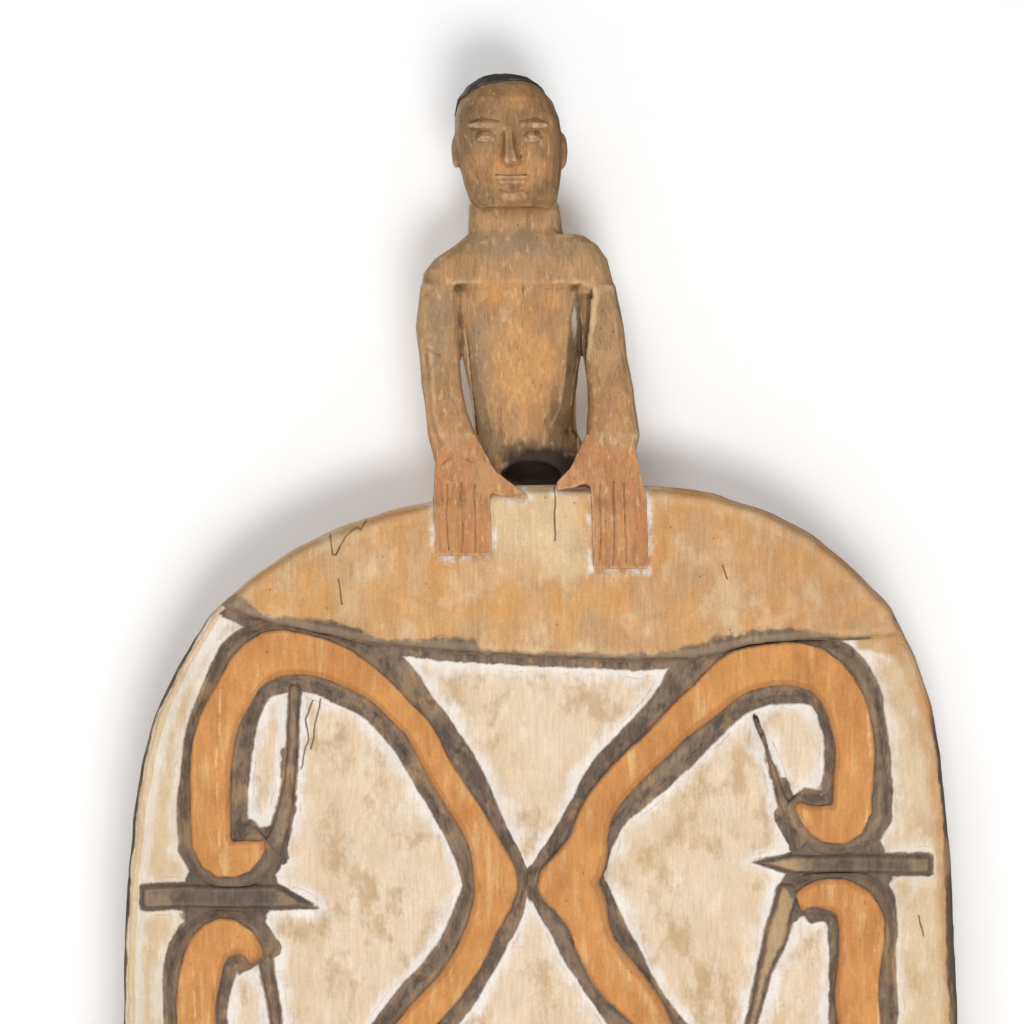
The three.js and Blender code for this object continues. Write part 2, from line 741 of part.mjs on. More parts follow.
// Hands in plan: x as a share of the palm's width, z of the hand's length, from the fingertips
const leftHandPlanShares = [
  [0, 0], [0.953, 0], [0.92, 0.612], [1.3, 0.544], [1.61, 0.563], [1.335, 0.68],
  [1.005, 0.825], [0.78, 1], [-0.139, 1], [-0.07, 0.534],
];
const rightHandPlanShares = [
  [0, 0], [0.953, 0], [0.92, 0.586], [0.85, 1], [-0.277, 1], [-0.4, 0.862],
  [-0.64, 0.741], [-0.624, 0.672], [-0.312, 0.698], [-0.052, 0.759],
];
const wristShare = 0.079;
const fingerShare = 0.56;

function fingerGroove(x, low, high) {
  const half = fingerGrooveWidth / 2;
  const front = palmPlane - handRelief;
  const ring = (z) => [
    [x - half, front - clearance, z],
    [x + half, front - clearance, z],
    [x, front + fingerGrooveDepth, z],
  ];
  return skin([ring(low), ring(high)], fanFaces(3));
}

// A hand laid flat on the crest, with its heel reaching back over the board to the wrist
function handGeometry(plan, armShares, cornerX, length) {
  const wrist = wristShare * figureHeight;
  const corner = wrist - length;
  const points = plan.map(([x, z]) =>
    new THREE.Vector2(cornerX + x * palmWidth, z === 1 ? wrist : corner + z * length));
  const back = ringAt(points, palmPlane);
  const front = ringAt(points, palmPlane - handRelief);
  const slab = skin([back, front], THREE.ShapeUtils.triangulateShape(points, []));
  const [, armX, armY, armWidth, armDepth] = armShares[0];
  const heelShare = 0.8;
  const thin = handRelief / 2;
  const heel = skin([
    bodyRing(armX * halfFigure, palmPlane - thin, clearance, armWidth * halfFigure * heelShare,
      thin * heelShare, 0),
    bodyRing(armX * halfFigure, armY * halfFigureDepth, wrist, armWidth * halfFigure,
      armDepth * halfFigureDepth, 0),
  ], fanFaces(bodySides));
  const grooves = Array.from({ length: fingerCount - 1 }, (_, i) =>
    fingerGroove(cornerX + palmWidth * (i + 1) / fingerCount, corner - clearance,
      corner + length * fingerShare));
  return cut(joined([slab, heel]), grooves);
}

function figureGroup() {
  const group = new THREE.Group();
  group.position.set(0, middlePlane, boardHeight);
  const arms = [bodyGeometry(leftArmShares, clearance), bodyGeometry(rightArmShares, clearance)];
  const board = boardGeometry(clearance).translate(0, -middlePlane, -boardHeight);
  const hollowHeightShare = 0.017;
  const hollow = new THREE.SphereGeometry(1, 20, 12)
    .rotateX(Math.PI / 2)
    .scale(lapHollowWidth / 2, lapHollowDepth / 2, lapHollowHeight / 2)
    .translate(hipShares[2][1] * halfFigure, 0, hollowHeightShare * figureHeight);
  const leftCornerShare = -1.09;
  const rightCornerShare = 0.545;
  group.add(
    piece('shoulder_yoke', bodyGeometry(yokeShares), carved),
    piece('torso', cut(bodyGeometry(torsoShares), arms), carved),
    piece('hips', cut(bodyGeometry(hipShares), [board, hollow, ...arms]), carved),
    piece('neck', bodyGeometry(neckShares), carved),
    piece('head', headGeometry(), carved),
    piece('hair_cap', hairGeometry(), soot),
    piece('arm_left', bodyGeometry(leftArmShares), carved),
    piece('arm_right', bodyGeometry(rightArmShares), carved),
    piece('hand_left', handGeometry(leftHandPlanShares, leftArmShares,
      leftCornerShare * halfFigure, handLengthLeft), redOchre),
    piece('hand_right', handGeometry(rightHandPlanShares, rightArmShares,
      rightCornerShare * halfFigure, handLengthRight), redOchre),
  );
  return group;
}

// The grip: a bridge along the board's back, its edges rounded, open across for the fingers.
// The profile is drawn as height along the board against reach behind it.
const gripShoulderShare = 0.62;
const gripInnerShoulderShare = 0.78;

function gripGeometry() {
  const [outer, inner] = [gripLength / 2, gripSpan / 2];
  const outerShoulder = outer * gripShoulderShare;
  const innerShoulder = inner * gripInnerShoulderShare;
  const shape = new THREE.Shape([
    new THREE.Vector2(outer, 0),
    new THREE.Vector2(outerShoulder, gripReach),
    new THREE.Vector2(-outerShoulder, gripReach),
    new THREE.Vector2(-outer, 0),
    new THREE.Vector2(-inner, 0),
    new THREE.Vector2(-innerShoulder, gripGap),
    new THREE.Vector2(innerShoulder, gripGap),
    new THREE.Vector2(inner, 0),
  ]);
  const depth = gripWidth - gripRounding * 2;
  return new THREE.ExtrudeGeometry(shape, {
    depth,
    bevelEnabled: true,
    bevelSize: gripRounding,
    bevelOffset: -gripRounding,
    bevelThickness: gripRounding,
    bevelSegments: 2,
  }).translate(0, 0, -depth / 2).rotateY(-Math.PI / 2);
}

function boardPieces(firstField) {
  const crest = crestOutline();
  const carvedThrough = firstField.grownRidges.map((ridge) =>
    movedBy(ridge, firstField.group.position.z));
  const rim = (side, width) => panelGeometry(rimOutline(side, width), rimHeight, rimSlope);
  const crestPanel = cut(panelGeometry(crest, reliefHeight, crestSlope), carvedThrough);
  const grip = piece('back_handle', gripGeometry(), carved);
  grip.position.set(0, backPlane, boardHeight * gripHeightShare);
  return [
    piece('board', boardGeometry(), limed),
    piece('crest_panel', crestPanel, stained),
    piece('foot_panel', panelGeometry(footOutline(), reliefHeight, crestSlope), stained),
    piece('rim_left', rim(-1, rimWidthLeft), charcoal),
    piece('rim_right', rim(1, rimWidthRight), charcoal),
    grip,
  ];
}

function shieldGroup() {
  const shield = new THREE.Group();
  const fields = [];
  for (let number = 1; number <= fieldCount; number++) {
    fields.push(fieldGroup(fieldOf(number), fields[fields.length - 1]));
  }
  shield.add(...boardPieces(fields[0]), ...fields.map(({ group }) => group), figureGroup());
  return shield;
}

export default shieldGroup();
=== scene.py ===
"""Looks of a carved and painted war shield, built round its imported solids.

Metres, +Z up, the decorated face towards -Y. Every piece starts as a copy of the solids that it
stands for, is cut finer, and is then given the carver's unevenness, its paint and its wear.
"""
import math

import bpy
import numpy as np
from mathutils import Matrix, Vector, kdtree


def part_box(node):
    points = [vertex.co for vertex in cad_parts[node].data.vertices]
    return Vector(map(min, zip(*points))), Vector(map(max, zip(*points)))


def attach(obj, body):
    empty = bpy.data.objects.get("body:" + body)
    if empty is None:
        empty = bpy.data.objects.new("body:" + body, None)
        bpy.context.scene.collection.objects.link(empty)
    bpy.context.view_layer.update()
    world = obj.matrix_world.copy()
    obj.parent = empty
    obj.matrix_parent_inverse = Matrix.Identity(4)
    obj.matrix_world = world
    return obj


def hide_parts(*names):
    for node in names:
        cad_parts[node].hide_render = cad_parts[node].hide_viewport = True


bl_info = {
    "name": "Carved Shield",
    "version": (1, 0, 0),
    "blender": (4, 5, 0),
    "location": "View3D > Sidebar > Shield",
    "description": "Carved and painted wooden shield with an ancestor figure",
    "category": "Object",
}

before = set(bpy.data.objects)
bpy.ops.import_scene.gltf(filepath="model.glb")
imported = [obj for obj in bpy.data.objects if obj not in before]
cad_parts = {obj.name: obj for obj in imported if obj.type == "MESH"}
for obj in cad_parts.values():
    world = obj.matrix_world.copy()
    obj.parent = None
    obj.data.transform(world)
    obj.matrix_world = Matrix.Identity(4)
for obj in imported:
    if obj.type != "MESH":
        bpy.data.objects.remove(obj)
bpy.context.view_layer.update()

FIELDS = (1, 2, 3)
SIDES = ("left", "right")
ROOT = "root"
GROUND_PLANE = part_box("board")[0].y
BOARD_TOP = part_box("board")[1].z
SHIELD_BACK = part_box("back_handle")[1].y
HALF_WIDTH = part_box("board")[1].x


def nodes_named(pattern):
    """Names of a pattern such as ridge_{side}_{number} for both sides of all fields."""
    return [pattern.format(side=side, number=number) for number in FIELDS for side in SIDES]


RIDGES = nodes_named("ridge_{side}_{number}")
BANDS = nodes_named("band_{side}_{number}")
BARS = nodes_named("bar_{side}_{number}")
RIBS = nodes_named("rib_upper_{side}_{number}") + nodes_named("rib_lower_{side}_{number}")
RIMS = ["rim_left", "rim_right"]


def paint(red, green, blue):
    """A colour as it is seen on screen, 0 to 255, as the linear colour that a shader takes."""
    shares = [value / 255 for value in (red, green, blue)]
    return [s / 12.92 if s < 0.04045 else ((s + 0.055) / 1.055) ** 2.4 for s in shares]


def colour_setting(name, description, shade):
    return bpy.props.FloatVectorProperty(
        name=name, description=description, subtype="COLOR", size=3, min=0, max=1,
        default=paint(*shade))


def length_setting(name, description, default):
    return bpy.props.FloatProperty(
        name=name, description=description, default=default, min=0, unit="LENGTH", precision=5)


class ShieldSizes(bpy.types.PropertyGroup):
    """Lengths that the carving follows."""

    board_cut: length_setting("Board cut", "Mesh size of the board", 0.0037)
    relief_cut: length_setting("Relief cut", "Mesh size of ridges and crest", 0.0015)
    fine_cut: length_setting("Fine cut", "Mesh size of bands, bars and ribs", 0.0012)
    figure_cut: length_setting("Figure cut", "Mesh size of the figure's body", 0.00125)
    face_cut: length_setting("Face cut", "Mesh size of the head and hands", 0.0007)
    bed: length_setting("Bed", "How far a raised piece sinks into the one below", 0.0015)
    waver: length_setting("Waver", "How far a cut edge strays from its line", 0.0007)
    swell: length_setting("Swell", "How far the ground rises and falls", 0.0004)
    adze_scoop: length_setting("Adze scoop", "Width of an adze mark on board and crest", 0.028)
    relief_scoop: length_setting("Relief scoop", "Width of a blade mark on raised work", 0.012)
    body_scoop: length_setting("Body scoop", "Width of a knife mark on the body", 0.009)
    face_scoop: length_setting("Face scoop", "Width of a knife mark on head and hands", 0.006)
    scoop_depth: length_setting("Scoop depth", "How deep a knife mark goes", 0.0003)
    camera_reach: length_setting("Camera distance", "From the camera to the board's face", 2.0)
    view_width: length_setting("View width", "Width of the picture at the board's face", 0.6656)
    wall_gap: length_setting("Wall gap", "From the grip to the wall behind", 0.004)


class ShieldColours(bpy.types.PropertyGroup):
    """Colours of the paints and of the bare wood."""

    ochre: colour_setting("Ochre", "Painted bands", (208, 147, 87))
    ochre_deep: colour_setting("Deep ochre", "Band edges and thick paint", (180, 116, 66))
    ochre_pale: colour_setting("Pale ochre", "Rubbed streaks on the bands", (217, 172, 118))
    charcoal: colour_setting("Charcoal", "Thick charcoal", (97, 84, 74))
    charcoal_worn: colour_setting("Worn charcoal", "Rubbed charcoal", (146, 124, 103))
    charcoal_bare: colour_setting("Bared charcoal", "Wood under rubbed charcoal", (172, 139, 102))
    lime: colour_setting("Lime", "Thick lime wash", (235, 230, 223))
    lime_thin: colour_setting("Thin lime", "Lime rubbed to the wood", (229, 207, 181))
    limed_wood: colour_setting("Limed wood", "Wood that shows through the lime", (214, 184, 146))
    bare: colour_setting("Bare wood", "Wood of the crest", (204, 167, 121))
    bare_dark: colour_setting("Dark bare wood", "Streaks in the crest", (176, 136, 94))
    stain: colour_setting("Ochre stain", "Ochre rubbed on the crest", (208, 150, 88))
    edge: colour_setting("Edge", "Handled edge of the board", (96, 82, 68))
    figure_wood: colour_setting("Figure wood", "Handled wood of the figure", (184, 144, 101))
    figure_dark: colour_setting("Dark wood", "Shaded and handled hollows", (106, 82, 58))
    # Ashen wood also paints shade on the torso's left flank.
    figure_ashen: colour_setting("Ashen wood", "Greyed wood of the figure", (156, 132, 104))
    figure_warm: colour_setting("Warm wood", "Ochre rubbed on the figure", (206, 150, 90))
    hand_ochre: colour_setting("Hand ochre", "Red ochre on hands and forearms", (192, 130, 82))

    pit: colour_setting("Pit", "Deepest hollow of the figure", (46, 40, 36))
    soot: colour_setting("Soot", "Blackened hair", (66, 61, 57))
    back_wood: colour_setting("Back wood", "Adzed wood behind", (158, 122, 86))
    back_dark: colour_setting("Dark back wood", "Handled wood behind", (112, 84, 58))


def sizes():
    return bpy.context.scene.shield_sizes


def colours():
    return bpy.context.scene.shield_colours


# Distances on the front, kept on a raster over x and z

RASTER_STEP = 0.0015
RASTER_LOW = (-0.3, -0.03)
RASTER_SHAPE = (400, 810)
FAR = 0.04

# A flat face's least share of its normal along Y
FLATNESS = 0.99

# Where a hook's middle lies in its half of a ridge's box: shares of its width and height
HOOK_SHARE = 0.12
HOOK_SHARE_UP = 0.45


def gathered(items, name, width=3, kind=float):
    """What a mesh's vertices, edges or faces hold under a name, as rows."""
    flat = np.zeros(len(items) * width, kind)
    items.foreach_get(name, flat)
    return flat.reshape(-1, width)


def flat_faces(name, facing):
    """The triangles of a CAD node that look along +Y, 1, or -Y, -1, as x and z."""
    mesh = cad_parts[name].data
    triangles = gathered(mesh.vertices, "co")[gathered(mesh.polygons, "vertices", kind=int)]
    normals = np.cross(triangles[:, 1] - triangles[:, 0], triangles[:, 2] - triangles[:, 0])
    lengths = np.linalg.norm(normals, axis=1)
    keep = (lengths > 0) & (normals[:, 1] * facing > FLATNESS * lengths)
    return triangles[keep][:, :, [0, 2]]


def outline_of(triangles):
    """The edges that only one of the triangles has."""
    seen = {}
    for triangle in triangles:
        keys = [tuple(np.round(point, 6)) for point in triangle]
        for a, b in zip(keys, keys[1:] + keys[:1]):
            if a != b:
                seen.setdefault(frozenset((a, b)), []).append((a, b))
    return [edges[0] for edges in seen.values() if len(edges) == 1]


def raster_places(first=(0, 0), last=RASTER_SHAPE):
    """x and z of the raster's points, or of a part of them."""
    x, z = (RASTER_LOW[i] + np.arange(first[i], last[i]) * RASTER_STEP for i in range(2))
    return x[:, None], z[None, :]


def raster_window(low, high, reach):
    """The part of the raster round a box, and its points' x and z."""
    first = [max(int((low[i] - reach - RASTER_LOW[i]) / RASTER_STEP), 0) for i in range(2)]
    last = [min(int((high[i] + reach - RASTER_LOW[i]) / RASTER_STEP) + 2, RASTER_SHAPE[i])
            for i in range(2)]
    return tuple(slice(*ends) for ends in zip(first, last)), *raster_places(first, last)


def edge_distance(x, z, a, b):
    """Distance from each place to the edge from a to b."""
    run = (b[0] - a[0], b[1] - a[1])
    square = run[0] ** 2 + run[1] ** 2
    share = np.clip(((x - a[0]) * run[0] + (z - a[1]) * run[1]) / max(square, 1e-12), 0, 1)
    return np.hypot(x - a[0] - share * run[0], z - a[1] - share * run[1])


def edges_raster(edges):
    reach = np.full(RASTER_SHAPE, FAR)
    for a, b in edges:
        window, x, z = raster_window(np.minimum(a, b), np.maximum(a, b), FAR)
        reach[window] = np.minimum(reach[window], edge_distance(x, z, a, b))
    return reach


def inside_raster(triangles):
    inside = np.zeros(RASTER_SHAPE, bool)
    for triangle in triangles:
        window, x, z = raster_window(triangle.min(0), triangle.max(0), 0)
        turns = []
        for a, b in zip(triangle, np.roll(triangle, -1, axis=0)):
            turns.append((b[0] - a[0]) * (z - a[1]) - (b[1] - a[1]) * (x - a[0]))
        turns = np.array(turns)
        inside[window] |= (turns >= 0).all(0) | (turns <= 0).all(0)
    return inside


def reach_raster(names, facing):
    """Distance to the outlines of flat faces, below zero inside them."""
    result = np.full(RASTER_SHAPE, FAR)
    for name in names:
        triangles = flat_faces(name, facing)
        signs = np.where(inside_raster(triangles), -1, 1)
        result = np.minimum(result, edges_raster(outline_of(triangles)) * signs)
    return result


def inner_side_raster():
    """1 where a band's nearest edge faces its scroll's inside, -1 where it faces away."""
    slope_x, slope_z = np.gradient(_rasters["band_reach"], RASTER_STEP)
    x, z = raster_places()
    side_of = np.zeros(RASTER_SHAPE)
    for name in RIDGES:
        low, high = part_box(name)
        across, wide = low.x + high.x, high.x - low.x
        hook_x = across / 2 + math.copysign(HOOK_SHARE * wide, across)
        middle, reach = (low.z + high.z) / 2, (high.z - low.z) / 2
        for half in (-1, 1):
            hook_z = middle + half * HOOK_SHARE_UP * reach
            here = (x * hook_x > 0) & (np.abs(z - middle - half * reach / 2) <= reach / 2 + 0.01)
            turn = slope_x * (hook_x - x) + slope_z * (hook_z - z)
            side_of = np.where(here, turn / (np.hypot(hook_x - x, hook_z - z) + 1e-6), side_of)
    return side_of


def crest_border_raster():
    """Distance to the crest's lower border alone, below zero above it."""
    triangles = flat_faces("crest_panel", 1)
    rim = reach_raster(["board"], -1)
    middle = [((a[0] + b[0]) / 2, (a[1] + b[1]) / 2) for a, b in outline_of(triangles)]
    inner = [edge for edge, place in zip(outline_of(triangles), middle)
             if looked_up(rim, np.array([place[0]]), np.array([place[1]]))[0] < -0.006]
    return edges_raster(inner) * np.where(inside_raster(triangles), -1, 1)


# Upper edge of the charcoal on the crest: x and the drop below the board's top, as shares of
# half the board's width
CHARCOAL_LINE = (
    (-0.84, 0.262), (-0.76, 0.258), (-0.7, 0.272), (-0.66, 0.31), (-0.6, 0.319), (-0.5, 0.326),
    (-0.43, 0.345), (-0.36, 0.371), (-0.26, 0.364), (-0.157, 0.364), (-0.145, 0.395),
    (-0.05, 0.398), (0.1, 0.402), (0.3, 0.4), (0.43, 0.362), (0.51, 0.348), (0.6, 0.341),
    (0.66, 0.353), (0.69, 0.357), (0.72, 0.44), (0.8, 0.5))


def charcoal_line_raster():
    """Height above the charcoal's upper edge on the crest."""
    x, z = raster_places()
    across, drop = np.array(CHARCOAL_LINE).T * HALF_WIDTH
    return z - BOARD_TOP + np.interp(x, across, drop)


def looked_up(raster, x, z):
    """The raster's value at each place, between its points."""
    column = np.clip((x - RASTER_LOW[0]) / RASTER_STEP, 0, RASTER_SHAPE[0] - 1.001)
    row = np.clip((z - RASTER_LOW[1]) / RASTER_STEP, 0, RASTER_SHAPE[1] - 1.001)
    i, j = column.astype(int), row.astype(int)
    s, t = column - i, row - j
    near = raster[i, j] * (1 - s) + raster[i + 1, j] * s
    far = raster[i, j + 1] * (1 - s) + raster[i + 1, j + 1] * s
    return near * (1 - t) + far * t


# At a crossing the bands are cut broader: x before and after, and how far up and down it carries
CROSS_BEFORE = (-1, -0.08, -0.047, -0.0354, -0.0194, -0.0054, 0.0066, 0.0221, 0.0356, 0.08, 1)
CROSS_AFTER = (-1, -0.08, -0.0513, -0.043, -0.0148, -0.0083, -0.0018, 0.0295, 0.0445, 0.08, 1)
CROSS_CARRY = 0.028

# The ridges part closer to the crossing: height from it before and after, and how far across
PART_BEFORE = (-1, -0.06, -0.015, 0, 0.028, 0.07, 1)
PART_AFTER = (-1, -0.06, -0.0095, 0, 0.012, 0.07, 1)
PART_CARRY = 0.014

# Where the carver's lines swing off the even ones: x, drop below the board's top, then how far
# across and up. Whole numbers, here and in the tables below, are tenths of a millimetre.
BAND_SWINGS = (
    (-600, 3210, 37, -27), (240, 3090, -42, -27), (-840, 1650, 39, 27), (2040, 3330, -77, -2),
    (360, 2490, 75, -15), (480, 1770, -28, 30), (1200, 1170, -30, 51), (2040, 2010, -54, 22),
    (-1800, 2490, -55, 4), (-2040, 1290, 39, -19), (1920, 1410, -38, -29), (-2160, 3090, 36, -67),
    (840, 3210, 53, 34), (360, 3330, -86, -54), (-360, 2970, 37, -19), (120, 2850, -56, -19),
    (-2280, 1770, -25, 4), (-1800, 930, -10, 47), (1680, 1050, -7, 35), (120, 2130, -23, 18),
    (1200, 1530, 36, -37), (840, 1410, -34, 34), (1680, 2370, 25, 17), (1920, 2850, -38, -11),
    (2280, 2850, 31, 3), (-2040, 2370, 38, 18), (-1200, 1290, 0, 19), (-2040, 2730, -31, 37),
    (-1800, 1290, 14, -31), (-600, 3450, 35, -26), (-240, 2370, 8, 10), (720, 3090, 35, 20))
RIDGE_SWINGS = (
    (960, 1170, -52, 63), (-240, 2130, -43, -21), (960, 1770, 23, -24), (840, 3330, -33, -21),
    (-2280, 1290, 34, -20), (120, 2010, 47, -31), (-720, 2970, 32, -27), (2280, 2610, 42, 16),
    (-960, 1770, 24, 15), (-240, 2970, -21, 19), (480, 2610, -33, -4), (-960, 1050, 18, 35),
    (1920, 1770, 37, 5), (-1800, 930, -4, 37), (1680, 2130, -38, 27), (-2040, 3450, -41, -12),
    (-480, 3450, 15, -12), (-1920, 3090, 33, -21), (2040, 1050, 11, 31), (-1800, 1410, 7, -25),
    (2160, 2250, 27, -12), (0, 2250, -12, -63), (720, 2010, 18, -22), (1200, 1650, 23, -16),
    (240, 3090, -21, -11), (480, 2250, -18, 8), (0, 2730, -2, 36), (1920, 3090, 14, 14))
SWING_REACH = 0.026

# Smaller turns, at the hooks' tips
HOOK_SWINGS = (
    (-1840, 2250, 40, -55), (-1765, 2365, -20, 5))
HOOK_SWING_REACH = 0.009

# Where a bar or a rib is broader, or narrower: x, drop below the board's top, amount
WORK_GROWTH = (
    (1410, 1500, -26), (1460, 1680, -16), (1660, 2250, 16))
GROWTH_REACH = 0.014

# How the source of each pulled place is found: steps, and the share of its gap that each takes
PULL_STEPS = 24
PULL_SHARE = 0.6


def metres(table):
    """A table's whole numbers, tenths of a millimetre, as metres."""
    return np.array(table) / 1e4


def crossing_heights():
    boxes = [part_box(name) for name in RIDGES[::2]]
    return [(low.z + high.z) / 2 for low, high in boxes]


def swung(places, table, reach):
    """Places moved as the carver's lines swing."""
    moved = places.copy()
    for across, drop, step_x, step_z in metres(table):
        beside = np.abs(places[:, 2] - BOARD_TOP + drop) < 3 * reach
        x, z = places[beside, 0], places[beside, 2]
        near = np.exp(-((x - across) ** 2 + (z - BOARD_TOP + drop) ** 2) / reach ** 2)
        moved[beside, 0] += step_x * near
        moved[beside, 2] += step_z * near
    return moved


def broadened(places):
    """Places moved sideways near each crossing, as the bands broaden there."""
    moved = places.copy()
    shift = np.interp(places[:, 0], CROSS_BEFORE, CROSS_AFTER) - places[:, 0]
    for height in crossing_heights():
        moved[:, 0] += shift * np.exp(-((places[:, 2] - height) / CROSS_CARRY) ** 2)
    return moved


def bands_pulled(places):
    moved = swung(broadened(places), BAND_SWINGS, SWING_REACH)
    return swung(moved, HOOK_SWINGS, HOOK_SWING_REACH)


def ridges_pulled(places):
    """Broadened and swung, with the ground between the ridges drawn in towards each crossing."""
    moved = places.copy()
    near = np.exp(-(places[:, 0] / PART_CARRY) ** 2)
    for height in crossing_heights():
        up = places[:, 2] - height
        moved[:, 2] += (np.interp(up, PART_BEFORE, PART_AFTER) - up) * near
    return swung(broadened(moved), RIDGE_SWINGS, SWING_REACH)


def pulled_raster(raster, pull):
    """The raster as it lies once its pieces have been pulled, by steps back to each source."""
    x, z = np.broadcast_arrays(*raster_places())
    goal = np.stack([x.ravel(), np.zeros(x.size), z.ravel()], 1)
    source = goal.copy()
    for _ in range(PULL_STEPS):
        source += PULL_SHARE * (goal - pull(source))
    return looked_up(raster, source[:, 0], source[:, 2]).reshape(RASTER_SHAPE)


def growth(x, z):
    """How far out the outline of a bar or a rib stands at each place."""
    total = 0 * x * z
    for across, drop, amount in metres(WORK_GROWTH):
        gap = (x - across) ** 2 + (z - BOARD_TOP + drop) ** 2
        total = total + amount * np.exp(-gap / GROWTH_REACH ** 2)
    return total


_rasters = {}


def rasters():
    """The distances on the front by name, worked out once."""
    if not _rasters:
        work_line = reach_raster(BARS + RIBS, 1)
        _rasters.update(
            band_reach=pulled_raster(reach_raster(BANDS, -1), bands_pulled),
            ridge_reach=pulled_raster(reach_raster(RIDGES, 1), ridges_pulled),
            work_line=work_line, work_reach=work_line - growth(*raster_places()),
            hand_reach=reach_raster(["hand_left", "hand_right"], 1),
            border_reach=crest_border_raster(), rim_reach=reach_raster(["board"], -1),
            charcoal_line=charcoal_line_raster())
        _rasters["inner_side"] = inner_side_raster()
    return _rasters


# Cutting finer and wandering

LATTICE_VALUES = 8192
SCOOP_STRETCH = 1.6
SMOOTH_ROUNDS = 8


def lattice(points, size, seed):
    """A smooth random value from -1 to 1 at each place, its swells about size apart."""
    table = np.random.default_rng(seed).uniform(-1, 1, LATTICE_VALUES)
    scaled = points / np.asarray(size)
    cell = np.floor(scaled).astype(np.int64)
    share = scaled - cell
    share = share * share * (3 - 2 * share)
    total = np.zeros(len(points))
    for corner in range(8):
        step = np.array([corner & 1, corner >> 1 & 1, corner >> 2 & 1])
        x, y, z = (cell + step).T
        value = table[(x * 73856093 ^ y * 19349663 ^ z * 83492791) % LATTICE_VALUES]
        total += value * np.prod(np.where(step, share, 1 - share), axis=1)
    return total


def places_of(piece):
    return gathered(piece.data.vertices, "co")


def normals_of(piece):
    return gathered(piece.data.vertices, "normal")


def set_places(piece, places):
    piece.data.vertices.foreach_set("co", places.ravel())
    piece.data.update()


def strayed(places):
    """Where each place lies after the carver's hand has strayed: the same for all the pieces."""
    waver, swell = sizes().waver, sizes().swell
    moved = places.copy()
    moved[:, 0] += waver * (lattice(places, 0.026, 1) + 0.4 * lattice(places, 0.009, 2))
    moved[:, 2] += waver * (lattice(places, 0.026, 3) + 0.4 * lattice(places, 0.009, 4))
    moved[:, 1] += swell * (lattice(places, 0.045, 5) + 0.35 * lattice(places, 0.012, 6))
    return moved


def chosen(*pieces):
    bpy.ops.object.select_all(action="DESELECT")
    for piece in pieces:
        piece.select_set(True)
    bpy.context.view_layer.objects.active = pieces[0]


def with_modifier(piece, kind, **settings):
    chosen(piece)
    modifier = piece.modifiers.new(kind.title(), kind)
    for name, value in settings.items():
        setattr(modifier, name, value)
    bpy.ops.object.modifier_apply(modifier=modifier.name)


def copied(label, node, bed=0.0):
    """A new piece from a copy of a CAD node, with its rear face sunk by bed."""
    piece = bpy.data.objects.new(label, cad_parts[node].data.copy())
    piece.data.name = label
    piece.data.materials.clear()
    bpy.context.scene.collection.objects.link(piece)
    places = places_of(piece)
    rear = places[:, 1] > places[:, 1].max() - 1e-5
    places[rear, 1] += bed
    set_places(piece, places)
    chosen(piece)
    bpy.ops.object.mode_set(mode="EDIT")
    bpy.ops.mesh.select_all(action="SELECT")
    bpy.ops.mesh.remove_doubles(threshold=1e-6)
    bpy.ops.object.mode_set(mode="OBJECT")
    return piece


def cut_finer(piece, cut, rounds):
    with_modifier(piece, "REMESH", mode="VOXEL", voxel_size=cut, use_smooth_shade=True)
    if rounds:
        with_modifier(piece, "SMOOTH", factor=0.5, iterations=rounds)


def scooped(piece, width, depth, seed):
    """Shallow hollows of a blade, about width across, with low ridges where they meet."""
    places, normals = places_of(piece), normals_of(piece)
    spread = places * (1, 1, 1 / SCOOP_STRETCH)
    order = np.random.default_rng(seed).permutation(len(places))
    cells = np.floor(spread[order] / width + seed / 7).astype(np.int64)
    centres = spread[order[np.unique(cells, axis=0, return_index=True)[1]]]
    tree = kdtree.KDTree(len(centres))
    for index, centre in enumerate(centres):
        tree.insert(centre, index)
    tree.balance()
    gap = np.array([tree.find(place)[2] for place in spread])
    lift = depth * (np.clip(gap / (0.65 * width), 0, 1) ** 2 - 0.5)
    set_places(piece, places + normals * lift[:, None])


def smoothed(piece):
    """A piece's places averaged with those round them, a few times over."""
    places = places_of(piece)
    first, second = gathered(piece.data.edges, "vertices", 2, int).T
    count = len(places)
    shares = np.bincount(first, minlength=count) + np.bincount(second, minlength=count)
    for _ in range(SMOOTH_ROUNDS):
        total = [np.bincount(first, row[second], count) + np.bincount(second, row[first], count)
                 for row in places.T]
        places = np.array(total).T / np.maximum(shares, 1)[:, None]
    return places


def stained(piece, name, values):
    attribute = piece.data.attributes.new(name, "FLOAT", "POINT")
    attribute.data.foreach_set("value", np.ascontiguousarray(values, dtype=np.float32))


def edges_marked(piece, scale=0.0002):
    """Marks where the wood stands proud, above 0, and where it lies hollow, below 0."""
    proud = ((places_of(piece) - smoothed(piece)) * normals_of(piece)).sum(1)
    stained(piece, "proud", np.clip(proud / scale, -2, 2))


FRONT_MARKS = ("band_reach", "ridge_reach", "work_reach", "border_reach", "rim_reach",
               "inner_side", "hand_reach", "charcoal_line")


def marked(piece):
    """Gives the piece its distances to the outlines on the front."""
    places = places_of(piece)
    for name in FRONT_MARKS:
        stained(piece, name, looked_up(rasters()[name], places[:, 0], places[:, 2]))


def finished(piece, finish, slot, *nodes):
    """Shades a piece smooth, paints it, and lets it stand for its CAD nodes."""
    chosen(piece)
    bpy.ops.object.shade_smooth()
    piece.data.materials.clear()
    piece.data.materials.append(finish)
    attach(piece, ROOT)
    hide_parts(*nodes)


# Finishes

